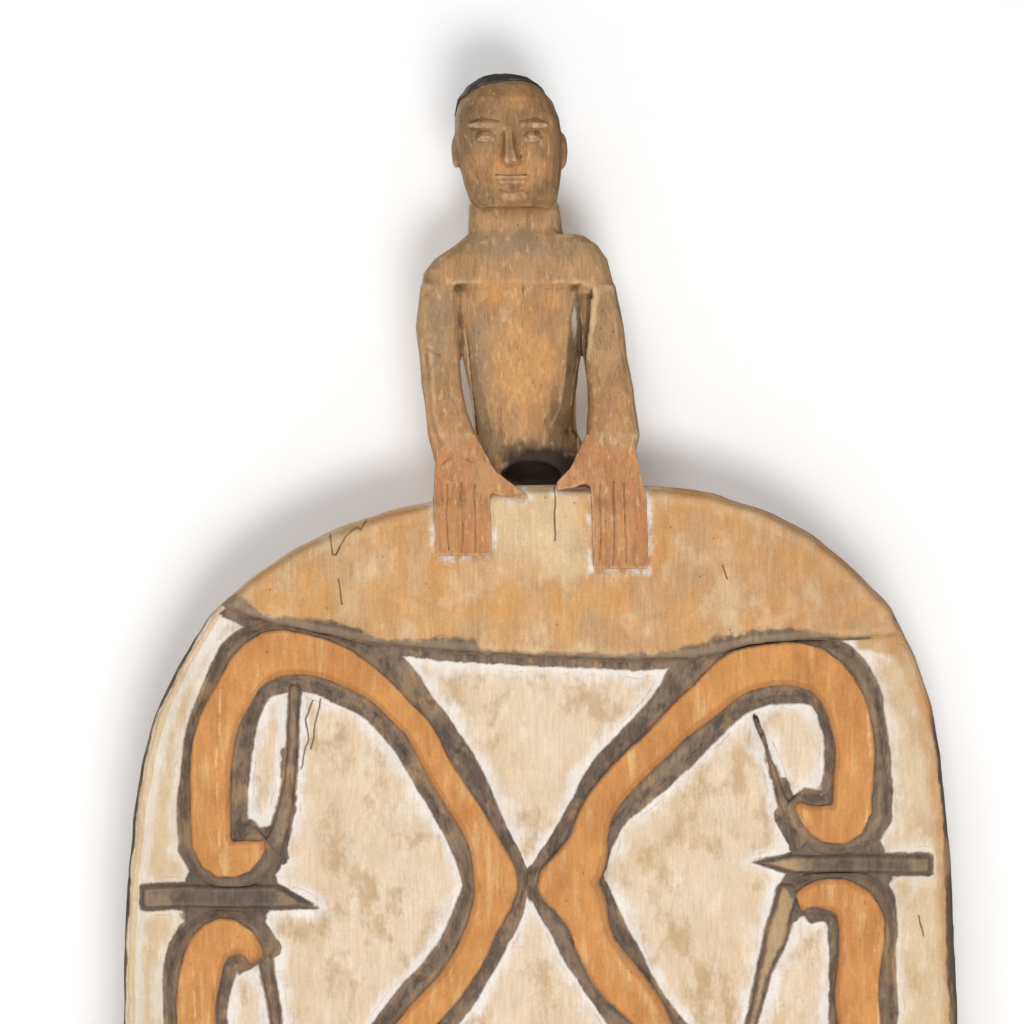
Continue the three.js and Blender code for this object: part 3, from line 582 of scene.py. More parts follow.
class Value:
    """A number, a colour or a place that a shader node gives, with the usual signs for sums."""

    def __init__(self, finish, socket):
        self.finish, self.socket = finish, socket

    def __add__(self, other):
        return self.finish.sum("ADD", self, other)

    def __sub__(self, other):
        return self.finish.sum("SUBTRACT", self, other)

    def __rsub__(self, other):
        return self.finish.sum("SUBTRACT", other, self)

    def __mul__(self, other):
        return self.finish.sum("MULTIPLY", self, other)

    def __abs__(self):
        return self.finish.sum("ABSOLUTE", self)

    def eased(self, low, high, start=0.0, end=1.0):
        """From start where this is low to end where it is high, smoothly."""
        inputs = dict(enumerate((self, low, high, start, end)))
        return self.finish.node(
            "ShaderNodeMapRange", 0, inputs, interpolation_type="SMOOTHSTEP")

    def under(self, colour, *amounts):
        """This colour with another one laid over it, as far as the product of the amounts."""
        share, *others = amounts
        for amount in others:
            share = share * amount
        return self.finish.mixed(share, self, colour)


class Finish:
    """A finish put together from shader nodes. A colour's name stands for its setting."""

    def __init__(self, name, roughness=0.85):
        self.material = bpy.data.materials.new(name)
        self.material.use_nodes = True
        self.tree = self.material.node_tree
        self.shader = self.tree.nodes["Principled BSDF"]
        self.put(self.shader.inputs["Roughness"], roughness)
        self.put(self.shader.inputs["Specular IOR Level"], 0.25)
        self.place = self.node("ShaderNodeTexCoord", "Object")

    def put(self, socket, value):
        if isinstance(value, str):
            value = getattr(colours(), value)
        if isinstance(value, Value):
            self.tree.links.new(value.socket, socket)
        elif hasattr(value, "__len__") and len(socket.default_value) == 4:
            socket.default_value = (*value, 1.0)
        else:
            socket.default_value = value

    def node(self, kind, output, inputs=None, **settings):
        """One output of a new node, whose inputs are filled by name or number."""
        node = self.tree.nodes.new(kind)
        for name, value in settings.items():
            setattr(node, name, value)
        for name, value in (inputs or {}).items():
            self.put(node.inputs[name], value)
        return Value(self, node.outputs[output])

    def sum(self, operation, a, b=0.0, clamp=False):
        return self.node(
            "ShaderNodeMath", 0, {0: a, 1: b}, operation=operation, use_clamp=clamp)

    def either(self, a, b):
        return self.sum("MAXIMUM", a, b)

    def both(self, first, *others):
        for other in others:
            first = self.sum("MINIMUM", first, other)
        return first

    def mixed(self, amount, a, b, blend="MIX"):
        return self.node("ShaderNodeMix", 2, {0: amount, 6: a, 7: b}, data_type="RGBA",
                         blend_type=blend)

    def reach(self, name):
        return self.node("ShaderNodeAttribute", "Fac", attribute_name=name)

    def axis(self, index, vector=None):
        return self.node("ShaderNodeSeparateXYZ", index, {0: vector or self.place})

    def turned(self, place, shift, wide, tall):
        inputs = {"Vector": place, "Location": shift, "Scale": (1 / wide, 1, 1 / tall)}
        return self.node("ShaderNodeMapping", 0, inputs)

    def mottle(self, size, detail, tall=1, shift=0.0, rough=0.55, wide=1):
        """Noise from about 0 to 1, its patches size across, drawn out by tall and wide."""
        place = self.turned(self.place, (shift, shift * 0.7, shift * 1.3), wide, tall)
        inputs = {"Vector": place, "Scale": 1 / size, "Detail": detail, "Roughness": rough}
        return self.node("ShaderNodeTexNoise", "Fac", inputs)

    def specks(self, size, tall=1, shift=0.0, wide=1):
        """Distance to the nearest of scattered points, as a share of their spacing."""
        place = self.turned(self.place, (shift, shift, shift), wide, tall)
        return self.node("ShaderNodeTexVoronoi", "Distance", {"Vector": place, "Scale": 1 / size})

    def facets(self, size, tall, shift):
        """A random value from 0 to 1 for each blade mark, its borders a little ragged."""
        place = self.flat_place(size * 0.25, size * 0.7)
        place = self.turned(place, (shift, 0, shift), 1, tall)
        cells = self.node("ShaderNodeTexVoronoi", "Color", {"Vector": place, "Scale": 1 / size})
        return self.axis(0, cells)

    def grain(self, width=0.0016, length=22.0):
        """Fine streaks along the plank."""
        return self.mottle(width, 3, length, rough=0.6)

    def strayed_reach(self, name, amount, size):
        """A distance whose line wanders by about amount, as brushed paint does."""
        coarse = self.mottle(size, 4) - 0.5
        fine = self.mottle(size / 4, 2, shift=3) - 0.5
        return self.reach(name) + (coarse * (amount * 4.5) + fine * (amount * 1.2))

    def vector(self, operation, a, b=(0, 0, 0), output=0):
        number = 3 if operation == "SCALE" else 1
        return self.node("ShaderNodeVectorMath", output, {0: a, number: b}, operation=operation)

    def flat_place(self, stray, size):
        """The place in x and z alone, wandering a little."""
        noise = self.node("ShaderNodeTexNoise", "Color", {"Vector": self.place, "Scale": 1 / size})
        wander = self.vector("SUBTRACT", noise, (0.5, 0.5, 0.5))
        wander = self.vector("MULTIPLY", wander, (2 * stray, 0, 2 * stray))
        return self.vector("ADD", self.vector("MULTIPLY", self.place, (1, 0, 1)), wander)

    def lines_reach(self, lines, stray=0.0016, size=0.012):
        """Distance to lines through points, each an x and a drop below the board's top."""
        flat = self.flat_place(stray, size)
        gaps = []
        for points in lines:
            places = [(x, BOARD_TOP - drop) for x, drop in metres(points)]
            for a, b in zip(places, places[1:]):
                run = (b[0] - a[0], 0, b[1] - a[1])
                square = run[0] ** 2 + run[2] ** 2
                from_a = self.vector("SUBTRACT", flat, (a[0], 0, a[1]))
                along = self.vector("DOT_PRODUCT", from_a, run, "Value")
                share = self.sum("MULTIPLY", along, 1 / square, clamp=True)
                off = self.vector("SUBTRACT", from_a, self.vector("SCALE", run, share))
                gaps.append(self.vector("LENGTH", off, output="Value"))
        return self.both(*gaps)

    def worn_edges(self, shade, light, dark, strength):
        """Rubbed pale where the wood stands proud, darkened where it lies hollow."""
        proud = self.reach("proud") + (self.mottle(0.003, 3, shift=11) - 0.5) * 0.8
        shade = shade.under(light, proud.eased(0.3, 1.6), strength)
        return shade.under(dark, proud.eased(-0.3, -1.6), strength * 1.5)

    def done(self, colour, height, grit=0.35, strength=0.5, depth=0.0005):
        """The material, with grit in its colour and its height as a bump."""
        fine = self.mottle(GRIT, 3, 1, 23, 0.7) - 0.5
        streak = self.mottle(GRIT * 1.2, 3, 7, 24, 0.65) - 0.5
        cloud = self.mottle(GRIT * 9, 4, 1.5, 25) - 0.5
        value = (fine + streak + cloud) * grit + 1.0
        self.put(self.shader.inputs["Base Color"], self.mixed(1, colour, value, "MULTIPLY"))
        inputs = {"Strength": strength, "Distance": depth, "Height": height}
        self.put(self.shader.inputs["Normal"], self.node("ShaderNodeBump", 0, inputs))
        return self.material


# Cracks, charcoal brushed beside hooks and ribs, and scratches: points of x and drop below
# the board's top
CRACKS = (
    ((85, -20), (90, 360)),
    ((-1370, 320), (-1365, 380), (-1357, 460), (-1333, 460), (-1310, 400), (-1274, 345),
     (-1230, 295), (-1194, 277), (-1173, 293), (-1126, 210)),
    ((-1490, 1400), (-1530, 1520), (-1520, 1680), (-1570, 1850)),
    ((-1440, 1390), (-1470, 1550), (-1500, 1720)), ((-1320, 620), (-1290, 780)),
    ((2290, 700), (2310, 880)), ((1900, 2570), (1940, 2620)), ((2460, 2810), (2490, 2940)),
    ((1180, 520), (1210, 610)))
CHARCOAL_STROKES = (
    ((-1650, 1760), (-1645, 2065), (-1680, 2280), (-1720, 2410)),
    ((1570, 1960), (1650, 2175), (1700, 2357)), ((1680, 2620), (1630, 2800)))
PALE_SCRATCHES = (
    ((-2080, 1340), (-2110, 1800), (-2080, 2450)), ((2110, 1340), (2140, 1750), (2110, 2220)),
    ((-2260, 3120), (-2240, 3600), (-2270, 4400)), ((2160, 3000), (2190, 3500), (2160, 4300)),
    ((-2150, 4900), (-2130, 5600), (-2160, 6000)), ((2170, 4700), (2150, 5500), (2190, 6200)),
    ((-2050, 8400), (-2090, 9300)), ((2090, 8200), (2050, 9100)))
BROWN = (0.13, 0.075, 0.035)
SOOTY = paint(62, 57, 52)
PALE_WOOD = paint(224, 196, 156)
GRIT = 0.0014
FAR_OFF = 5.0


def from_bars(f):
    """Height from the nearest pair of bars."""
    first, second = crossing_heights()[:2]
    return f.sum("PINGPONG", f.axis(2) - first, (first - second) / 2)


def charcoal_paint(f, bared=0.5):
    """Rubbed charcoal: dark patches, worn streaks, wood showing through."""
    patches = f.mottle(0.012, 5, 1.5, rough=0.6).eased(0.4, 0.6)
    streaks = f.mottle(0.0022, 3, 7, 1.1).eased(0.4, 0.68)
    shade = f.mixed(patches * 0.65 + streaks * 0.35, "charcoal", "charcoal_worn")
    bare = f.mottle(0.02, 5, 1.4, 5, 0.6).eased(0.52, 0.66)
    shade = shade.under("charcoal_bare", bare, streaks * 0.4 + bared)
    shade = shade.under(paint(70, 62, 56), f.mottle(0.007, 4, 1.6, 29).eased(0.56, 0.68), 0.55)
    beside_bars = from_bars(f).eased(0.036, 0.012)
    return shade.under(paint(84, 78, 73), abs(f.axis(0)).eased(0.13, 0.17), beside_bars, 0.55)


def ochre_paint(f):
    """Thick ochre, a little uneven, with dark specks and rubbed streaks."""
    shade = f.mixed(f.mottle(0.028, 5, 2, 1).eased(0.4, 0.7) * 0.6, "ochre", "ochre_deep")
    shade = shade.under("ochre_deep", f.mottle(0.002, 4, 5, 3).eased(0.35, 0.7), 0.22)
    shade = shade.under("ochre_pale", f.mottle(0.007, 4, 6, 2).eased(0.52, 0.72), 0.85)
    kept = f.mottle(0.02, 1, shift=7).eased(0.48, 0.58)
    shade = shade.under("charcoal", f.specks(0.011).eased(0.085, 0.04), kept, 0.8)
    return shade.under(BROWN, f.specks(0.014, 2.2, 4, 0.35).eased(0.075, 0.03), 0.75)


def wood_height(f, coarse=0.005):
    return f.grain() * 0.7 + f.mottle(coarse, 4, shift=4)


def band_finish():
    f = Finish("ochre_band")
    inner = f.reach("inner_side").eased(-0.15, 0.35)
    # Painted shade: a darker brown strip where each band's inner edge rounds over towards the
    # scroll's inside.
    inner_edge_shade = f.strayed_reach("band_reach", 0.0005, 0.009).eased(-0.0042, -0.0026)
    shade = ochre_paint(f).under(paint(166, 108, 62), inner_edge_shade, inner, 0.55)
    # Painted shade: a thin darker line all round the band, where its edge steps down to the ridge.
    line = f.strayed_reach("band_reach", 0.0005, 0.007).eased(-0.0018, -0.0004)
    shade = shade.under(paint(150, 100, 62), line, 0.55)
    scratch = f.lines_reach(PALE_SCRATCHES, 0.0013, 0.03).eased(0.0011, 0.0004)
    broken = f.mottle(0.009, 4, shift=12).eased(0.42, 0.56)
    shade = shade.under(paint(226, 190, 142), scratch, broken, 0.55)
    smudge = f.strayed_reach("band_reach", 0.0008, 0.006).eased(-0.0006, 0.0003)
    return f.done(shade.under(charcoal_paint(f), smudge), wood_height(f, 0.004), 0.46)


def lime_nicks(f, shade):
    """Lime that the brush left here and there over the foot of a charcoal flank."""
    reach = f.reach("ridge_reach") - f.reach("work_reach").eased(0.01, 0.006, 0.0, 0.02)
    edge = reach + (f.mottle(0.005, 4, shift=13) - 0.5) * 0.008
    kept = f.mottle(0.03, 2, shift=30).eased(0.5, 0.6)
    thin = f.mottle(0.0022, 4, shift=31).eased(0.35, 0.6)
    return shade.under("lime", edge.eased(-0.0016, -0.0001), kept, thin * 0.6 + 0.2)


def ridge_finish():
    f = Finish("charcoal_ridge")
    # Charcoal darkened next to the band: partly thicker charcoal, partly painted shadow under the
    # band's step.
    near = f.strayed_reach("band_reach", 0.0008, 0.01).eased(0.003, 0.0004)
    shade = lime_nicks(f, charcoal_paint(f).under("charcoal", near, 0.35))
    over = f.strayed_reach("band_reach", 0.0007, 0.004).eased(0.0006, 0.0)
    shade = f.worn_edges(shade.under("ochre_deep", over), "charcoal_bare", SOOTY, 0.2)
    return f.done(shade, wood_height(f, 0.003), 0.5, 0.55)


def small_work_finish():
    """Charcoal on bars and ribs, rubbed to the wood at their ends."""
    f = Finish("charcoal_work")
    across = abs(f.axis(0)) + (f.mottle(0.012, 4, shift=32) - 0.5) * 0.04
    tail = across.eased(0.66 * HALF_WIDTH, 0.59 * HALF_WIDTH)
    outer = across.eased(0.86 * HALF_WIDTH, 0.91 * HALF_WIDTH)
    middle = f.strayed_reach("work_reach", 0.001, 0.006).eased(-0.002, -0.004)
    shade = charcoal_paint(f).under(paint(168, 142, 110), outer, middle, 0.45)
    strength = f.axis(0).eased(-0.01, 0.01, 0.3, 0.75)
    shade = shade.under(paint(190, 160, 120), tail, middle, strength)
    shade = f.worn_edges(shade, "charcoal_bare", SOOTY, 0.12)
    return f.done(shade, wood_height(f, 0.003), 0.5, 0.55)


def wood_shade(f, light, dark):
    """Bare wood with fine streaks."""
    shade = f.mixed(f.grain().eased(0.36, 0.68) * 0.42, light, dark)
    return shade.under(dark, f.mottle(0.008, 4, 5, 14).eased(0.45, 0.7), 0.35)


def lime_wash(f, nearest):
    """Lime, thick beside the raised work and rubbed thin in the middle of a field."""
    streaks = f.mottle(0.003, 4, 5, 1.5) - 0.5
    patches = f.mottle(0.016, 5, 1.3, 6, 0.62) - 0.5
    reach = streaks * 0.01 + patches * 0.03 + nearest
    outer = abs(f.axis(0)).eased(0.2, 0.235)
    thick = reach.eased(0.011, 0.0005) * (1.0 - outer * 0.45)
    wood = f.mixed(f.grain(0.0015, 12).eased(0.34, 0.7) * 0.45, "lime_thin", "limed_wood")
    wood = wood.under("limed_wood", f.mottle(0.03, 5, 1.7, 8).eased(0.4, 0.7), 0.5)
    rubbed = f.mottle(0.022, 6, 1.4, 33, 0.65).eased(0.5, 0.66)
    wood = wood.under(paint(192, 158, 118), rubbed, 0.75)
    wood = wood.under(paint(210, 182, 144), outer, 0.6)
    wood = wood.under(paint(240, 228, 212), f.mottle(0.006, 4, 2.5, 15).eased(0.52, 0.7), 0.3)
    pencil = abs(patches * 0.01 + nearest - 0.0042).eased(0.0004, 0.0001)
    kept = f.mottle(0.03, 2, shift=16).eased(0.55, 0.6)
    return wood.under("lime", thick, 0.84).under("charcoal_worn", pencil, kept, 0.4)


def edge_shade(f):
    """The handled edge of the board: dark, with worn tan patches."""
    shade = f.mixed(f.mottle(0.016, 5, 2.6, 3).eased(0.5, 0.66) * 0.7, "edge", "charcoal_bare")
    return shade.under("charcoal", f.grain(0.0014, 10).eased(0.4, 0.7), 0.35)


def rear_wood(f):
    """Adzed wood behind, each mark of the blade a little lighter or darker."""
    cuts = f.facets(0.034, 1.8, 5)
    shade = wood_shade(f, "back_wood", "back_dark")
    shade = shade.under(paint(186, 150, 110), cuts.eased(0.5, 0.9), 0.12)
    shade = shade.under("back_dark", cuts.eased(0.45, 0.1), 0.13)
    return shade.under(paint(132, 104, 78), f.mottle(0.09, 4, 2, 35).eased(0.48, 0.66), 0.35)


def crest_wood(f):
    """Bare wood under broad stains of ochre, rubbed pale in patches."""
    cuts = f.facets(0.022, 1.7, 3)
    shade = wood_shade(f, "bare", "bare_dark")
    shade = shade.under("stain", f.mottle(0.03, 5, 2.2, 2).eased(0.38, 0.66), 0.75)
    shade = shade.under(paint(222, 192, 150), cuts.eased(0.55, 0.8), 0.14)
    shade = shade.under("bare_dark", cuts.eased(0.35, 0.1), 0.14)
    shade = shade.under(PALE_WOOD, f.mottle(0.026, 5, 1.3, 17).eased(0.5, 0.66), 0.6)
    shade = shade.under("stain", f.mottle(0.03, 5, 1.2, 26).eased(0.52, 0.62), 0.6)
    return shade.under(paint(178, 132, 88), f.axis(0).eased(0.05, 0.24, 0.0, 0.35))


def right_side(f, left=0.0, right=1.0):
    """One value on the left half of the board and another on its right half."""
    return f.axis(0).eased(0.0, 0.01, left, right)


def edge_dark(f, rim):
    """1 where the handled edge is dark: a thin line, broader low on the right."""
    low = f.axis(2).eased(BOARD_TOP - 0.14, BOARD_TOP - 0.32)
    patchy = (f.mottle(0.03, 3, shift=34) - 0.5) * 0.006
    start = patchy + 0.0009 - low * right_side(f) * 0.0048
    return (rim - start).eased(-0.0008, 0.0008)


def outer_wood(f):
    """1 where the wood along the board's right edge shows through the lime."""
    higher = f.axis(2).eased(BOARD_TOP - 0.13, BOARD_TOP - 0.1, 0.0, 0.005)
    off_edge = f.strayed_reach("rim_reach", 0.001, 0.012) + higher
    beside = off_edge.eased(-0.011, -0.003) * right_side(f)
    depth = f.axis(0).eased(0.2, 0.235, -0.003, 0.004)
    below = (f.strayed_reach("border_reach", 0.001, 0.01) - depth).eased(0.0095, 0.0055)
    return f.either(beside, below * f.axis(0).eased(0.203, 0.208))


def rim_wood(f):
    """Worn tan wood along the board's edge."""
    tan = crest_wood(f).under(paint(226, 206, 176), right_side(f, 0.75, 0.0))
    worn = f.mottle(0.014, 5, 3, 9).eased(0.58, 0.4)
    return tan.under("lime", worn, right_side(f, 0.3, 0.05))


def rim_finish():
    f = Finish("worn_rim")
    dark = edge_dark(f, f.strayed_reach("rim_reach", 0.0008, 0.014))
    shade = lime_wash(f, 0.05).under(rim_wood(f), outer_wood(f)).under(edge_shade(f), dark)
    return f.done(shade, wood_height(f))


def ground_finish():
    f = Finish("limed_ground", 0.9)
    ridge, work, tan = f.reach("ridge_reach"), f.reach("work_reach"), rim_wood(f)
    inside = (f.reach("rim_reach") + 0.0085) * -2.2 + right_side(f, 0.0, 0.05)
    border = f.reach("border_reach") - 0.0045
    shade = lime_wash(f, f.both(f.both(ridge, work), f.both(border, inside)))
    shade = shade.under(tan, outer_wood(f))
    past = f.axis(0).eased(0.16, 0.2, 0.0, 0.02)
    off_border = abs(f.strayed_reach("border_reach", 0.0009, 0.007)) - 0.0035 + past
    strokes = f.lines_reach(CHARCOAL_STROKES, 0.0025, 0.007) - 0.0042
    between = f.either(ridge, 0.0) + f.either(work, 0.0)
    between = between + from_bars(f).eased(0.045, 0.055, 0.0, 0.01)
    brushed = (f.mottle(0.014, 4, shift=36) - 0.5) * 0.012
    smear = f.both(
        f.strayed_reach("ridge_reach", 0.0008, 0.013),
        f.strayed_reach("work_reach", 0.0007, 0.009),
        off_border, strokes, between + brushed - 0.0075)
    shade = shade.under(charcoal_paint(f), smear.eased(0.0018, 0.0))
    crack = f.lines_reach(CRACKS).eased(0.0008, 0.0003)
    shade = shade.under(BROWN, crack, 0.8)
    rim = f.strayed_reach("rim_reach", 0.0007, 0.012)
    below_crest = 1.0 - f.reach("charcoal_line").eased(-0.03, 0.004) * 0.85
    edge = tan.under(tan.under(edge_shade(f), below_crest), edge_dark(f, rim))
    shade = shade.under(edge, rim.eased(-0.0016, -0.0002))
    behind = f.axis(1).eased(GROUND_PLANE + 0.007, GROUND_PLANE + 0.011)
    return f.done(shade.under(rear_wood(f), behind), wood_height(f) - crack * 1.5, 0.3)


def crest_finish():
    f = Finish("stained_crest")
    between_hands = abs(f.axis(0) + 0.004).eased(0.04, 0.022)
    high = f.axis(2).eased(BOARD_TOP - 0.07, BOARD_TOP - 0.03)
    shade = crest_wood(f).under(paint(226, 204, 168), between_hands, high, 0.55)
    lime = f.strayed_reach("hand_reach", 0.003, 0.008).eased(0.0065, 0.0004)
    shade = shade.under("lime", lime, f.mottle(0.008, 4, 2, 18).eased(0.42, 0.58), 0.85)
    brushed = (f.mottle(0.004, 6, 1, 19, wide=1.6) - 0.5) * 0.01
    line = f.strayed_reach("charcoal_line", 0.0012, 0.02) + brushed
    past = f.axis(0).eased(0.213, 0.222, 0.0, 0.01)
    off_border = abs(f.strayed_reach("border_reach", 0.0008, 0.01)) - 0.003 + past
    foot_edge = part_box("foot_panel")[1].z - 0.004 - f.axis(2) + brushed
    at_foot = f.axis(2).eased(0.3, 0.2, 0.0, FAR_OFF)
    line = f.both(f.both(line, off_border) + at_foot, foot_edge + (FAR_OFF - at_foot))
    charcoal = charcoal_paint(f, 0.25)
    charcoal = f.mixed(0.3, charcoal, paint(84, 75, 68))
    shade = shade.under(charcoal, line.eased(0.0025, -0.0015), 0.92)
    crack = f.lines_reach(CRACKS).eased(0.0008, 0.0003)
    shade = shade.under(BROWN, crack, 0.85)
    shade = shade.under(BROWN, f.specks(0.016, shift=2).eased(0.06, 0.03), 0.6)
    shade = f.worn_edges(shade, PALE_WOOD, "edge", 0.15)
    return f.done(shade, wood_height(f) - crack * 1.5, 0.45)


# Stains and painted shade on the figure, in the order that they are laid: mark, colour, strength.
# The dark mark is painted shade, with handling dirt, in hollows and under the arms, and painted
# shade on the torso's right flank; black is near-black laid last over the pit below the belly.
STAINS_AND_SHADE = (
    ("ashen_and_shade", "figure_ashen", 0.8), ("warm", "figure_warm", 0.75), ("ochre", "hand_ochre", 0.8),
    ("dark", "figure_dark", 0.85), ("limed", "lime", 0.8), ("black", "pit", 0.95))


def figure_finish(name, light, dark):
    """Handled wood under stains and painted shade that lie where the piece's marks say."""
    f = Finish(name, 0.72)
    ragged = f.mottle(0.012, 5, 1.8, 9, 0.65) - 0.5

    def laid(shade, mark, colour, strength):
        amount = (f.reach(mark) + ragged * 1.8).eased(0.15, 0.85, 0.0, strength)
        return shade.under(colour, f.both(amount, f.reach(mark) * 4.0))

    shade = wood_shade(f, light, dark)
    for stain in STAINS_AND_SHADE[:-1]:
        shade = laid(shade, *stain)
    cuts = f.facets(0.011, 2, 8)
    shade = shade.under(paint(212, 172, 122), cuts.eased(0.6, 0.75), 0.15)
    shade = shade.under(paint(128, 98, 68), cuts.eased(0.35, 0.2), 0.16)
    shade = shade.under("figure_warm", f.mottle(0.015, 5, 1.5, 27).eased(0.54, 0.68), 0.35)
    kept = f.mottle(0.018, 2, shift=20).eased(0.48, 0.56)
    shade = shade.under("figure_dark", f.specks(0.009, 1.8, 5).eased(0.1, 0.04), kept, 0.65)
    shade = shade.under("figure_dark", f.mottle(0.0011, 3, 14, 28).eased(0.55, 0.7), 0.35)
    shade = shade.under(paint(220, 190, 150), f.mottle(0.0035, 4, 2.5, 21).eased(0.57, 0.7), 0.4)
    shade = f.worn_edges(shade, paint(224, 194, 154), paint(84, 60, 40), 0.5)
    return f.done(laid(shade, *STAINS_AND_SHADE[-1]), wood_height(f, 0.004), 0.5, 0.6)


def hair_finish():
    f = Finish("soot_hair", 0.8)
    shade = f.mixed(f.mottle(0.009, 5, 2, 3).eased(0.5, 0.68) * 0.45, "soot", "figure_ashen")
    shade = f.worn_edges(shade, "figure_ashen", paint(44, 41, 38), 0.2)
    return f.done(shade, wood_height(f, 0.004))


def back_finish():
    f = Finish("back_wood", 0.75)
    shade = f.worn_edges(rear_wood(f), paint(192, 158, 118), "back_dark", 0.5)
    return f.done(shade, wood_height(f, 0.008), depth=0.0006)


def outline_moved(piece, raster, amount, reach, start):
    """Moves a piece out of a raster's shape by amount up to start, and less as far as reach.

    The distances start and reach are counted from the shape's outline inwards.
    """
    places = places_of(piece)
    x, z = places[:, 0], places[:, 2]
    out = np.stack([looked_up(slope, x, z) for slope in np.gradient(raster, RASTER_STEP)], 1)
    out /= np.maximum(np.linalg.norm(out, axis=1), 1e-6)[:, None]
    inward = -looked_up(raster, x, z)
    share = np.clip(1 - (inward - start) / reach, 0, 1) * amount
    places[:, [0, 2]] += out * share[:, None]
    set_places(piece, places)


def closed_to_ridge(piece):
    """Carries the end of a rib on into the ridge beside it."""
    outline_moved(piece, -rasters()["ridge_reach"], 0.0025, 0.004, 0.0)


# How far the crest is drawn over the board's edge, and how far in that fades
CREST_OVERHANG = 0.0028
CREST_FADE = 0.007

# What wear has left of a rim's height at two distances in from the board's edge
RIM_PLACES = (0.002, 0.006)
RIM_LEFT = (0.25, 0.06)

WORK_FADE = 0.003


def relief_piece(name, cut, rounds, finish, slot, scoop=None):
    """A raised piece of the front, cut finer and strayed with the board that carries it."""
    piece = copied(name + "_carved", name, 0.0 if name == "board" else sizes().bed)
    cut_finer(piece, cut, rounds)
    places = places_of(piece)
    if name == "crest_panel":
        outline_moved(piece, rasters()["rim_reach"], CREST_OVERHANG, CREST_FADE, CREST_FADE / 2)
    if name in RIMS:
        inward = -looked_up(rasters()["rim_reach"], places[:, 0], places[:, 2])
        worn = 1 - np.interp(inward, RIM_PLACES, RIM_LEFT)
        places[:, 1] -= worn * np.minimum(places[:, 1] - GROUND_PLANE, 0)
        set_places(piece, places)
    if name in RIDGES:
        set_places(piece, ridges_pulled(places))
    if name in BANDS:
        set_places(piece, bands_pulled(places))
    if name in BARS + RIBS:
        broader = growth(places[:, 0], places[:, 2])
        outline_moved(piece, rasters()["work_line"], broader, WORK_FADE, WORK_FADE / 2)
    if name in RIBS:
        closed_to_ridge(piece)
    marked(piece)
    scooped(piece, scoop or sizes().relief_scoop, sizes().scoop_depth, len(name))
    edges_marked(piece)
    set_places(piece, strayed(places_of(piece)))
    finished(piece, finish, slot, name)


class SHIELD_OT_board(bpy.types.Operator):
    """Carves the board with its limed ground, its edges and its back"""

    bl_idname = "shield.board"
    bl_label = "Board"

    def execute(self, context):
        relief_piece(
            "board", sizes().board_cut, 2, ground_finish(), "limed_wood", sizes().adze_scoop)
        return {"FINISHED"}


class SHIELD_OT_crest(bpy.types.Operator):
    """Carves the crest, the foot panel and the rims"""

    bl_idname = "shield.crest"
    bl_label = "Crest and rims"

    def execute(self, context):
        finish = crest_finish()
        for name in ("crest_panel", "foot_panel"):
            relief_piece(
                name, sizes().relief_cut, 3, finish, "stained_wood", sizes().adze_scoop)
        rim = rim_finish()
        for name in RIMS:
            relief_piece(name, sizes().fine_cut, 6, rim, "charcoal")
        return {"FINISHED"}


class SHIELD_OT_scrolls(bpy.types.Operator):
    """Carves the charcoal ridges and the ochre bands on them"""

    bl_idname = "shield.scrolls"
    bl_label = "Scrolls"

    def execute(self, context):
        ridge, band = ridge_finish(), band_finish()
        for name in RIDGES:
            relief_piece(name, sizes().relief_cut, 3, ridge, "charcoal")
        for name in BANDS:
            relief_piece(name, sizes().fine_cut, 2, band, "ochre")
        return {"FINISHED"}


class SHIELD_OT_small_work(bpy.types.Operator):
    """Carves the bars and ribs between the hooks"""

    bl_idname = "shield.small_work"
    bl_label = "Bars and ribs"

    def execute(self, context):
        finish = small_work_finish()
        for name in BARS + RIBS:
            relief_piece(name, sizes().fine_cut, 3, finish, "charcoal")
        return {"FINISHED"}


BODY = ["shoulder_yoke", "torso", "hips", "neck", "arm_left", "arm_right"]

# About how many flat knife cuts there are on the body, on the head, and on hair or a hand
BODY_CUTS = 1300
HEAD_CUTS = 7000
SMALL_CUTS = 900

# Blots of stain and of painted shade on the figure: mark, x, height above the board, half width,
# half height, amount
BLOTS_OF_STAIN_AND_SHADE = (
    ("ashen_and_shade", -680, 1080, 180, 500, 0.6), ("ashen_and_shade", 420, 1000, 160, 500, 0.35),
    ("ashen_and_shade", -140, 1570, 600, 120, 0.8), ("ashen_and_shade", -420, 600, 70, 550, 1.2),
    ("ashen_and_shade", -360, 300, 120, 180, 0.9), ("ashen_and_shade", 120, 300, 100, 180, 0.7),
    ("ashen_and_shade", -500, 2000, 200, 500, 0.5), ("warm", -100, 750, 200, 450, 1.1),
    ("warm", -220, 1250, 220, 120, 0.9), ("warm", 60, 1180, 160, 150, 0.8),
    ("warm", -300, 2050, 500, 140, 0.6), ("warm", -150, 2480, 180, 100, 0.5),
    ("dark", 260, 700, 55, 450, 1.3), ("dark", 0, 160, 260, 140, 1.8),
    ("dark", 120, 360, 80, 220, 1.2), ("dark", -500, 2600, 120, 300, 0.5),
    ("dark", 170, 2350, 120, 200, 0.4), ("black", 0, 100, 190, 125, 2.4),
    ("limed", 225, 1060, 22, 160, 0.9))

# Borders of the torso's front plane: height above the board, then x on the left and right
FRONT_PLANE = (
    (0, -300, -50), (300, -310, 26), (430, -330, 90), (500, -350, 123), (700, -395, 156),
    (900, -440, 169), (1100, -505, 189), (1350, -550, 240))

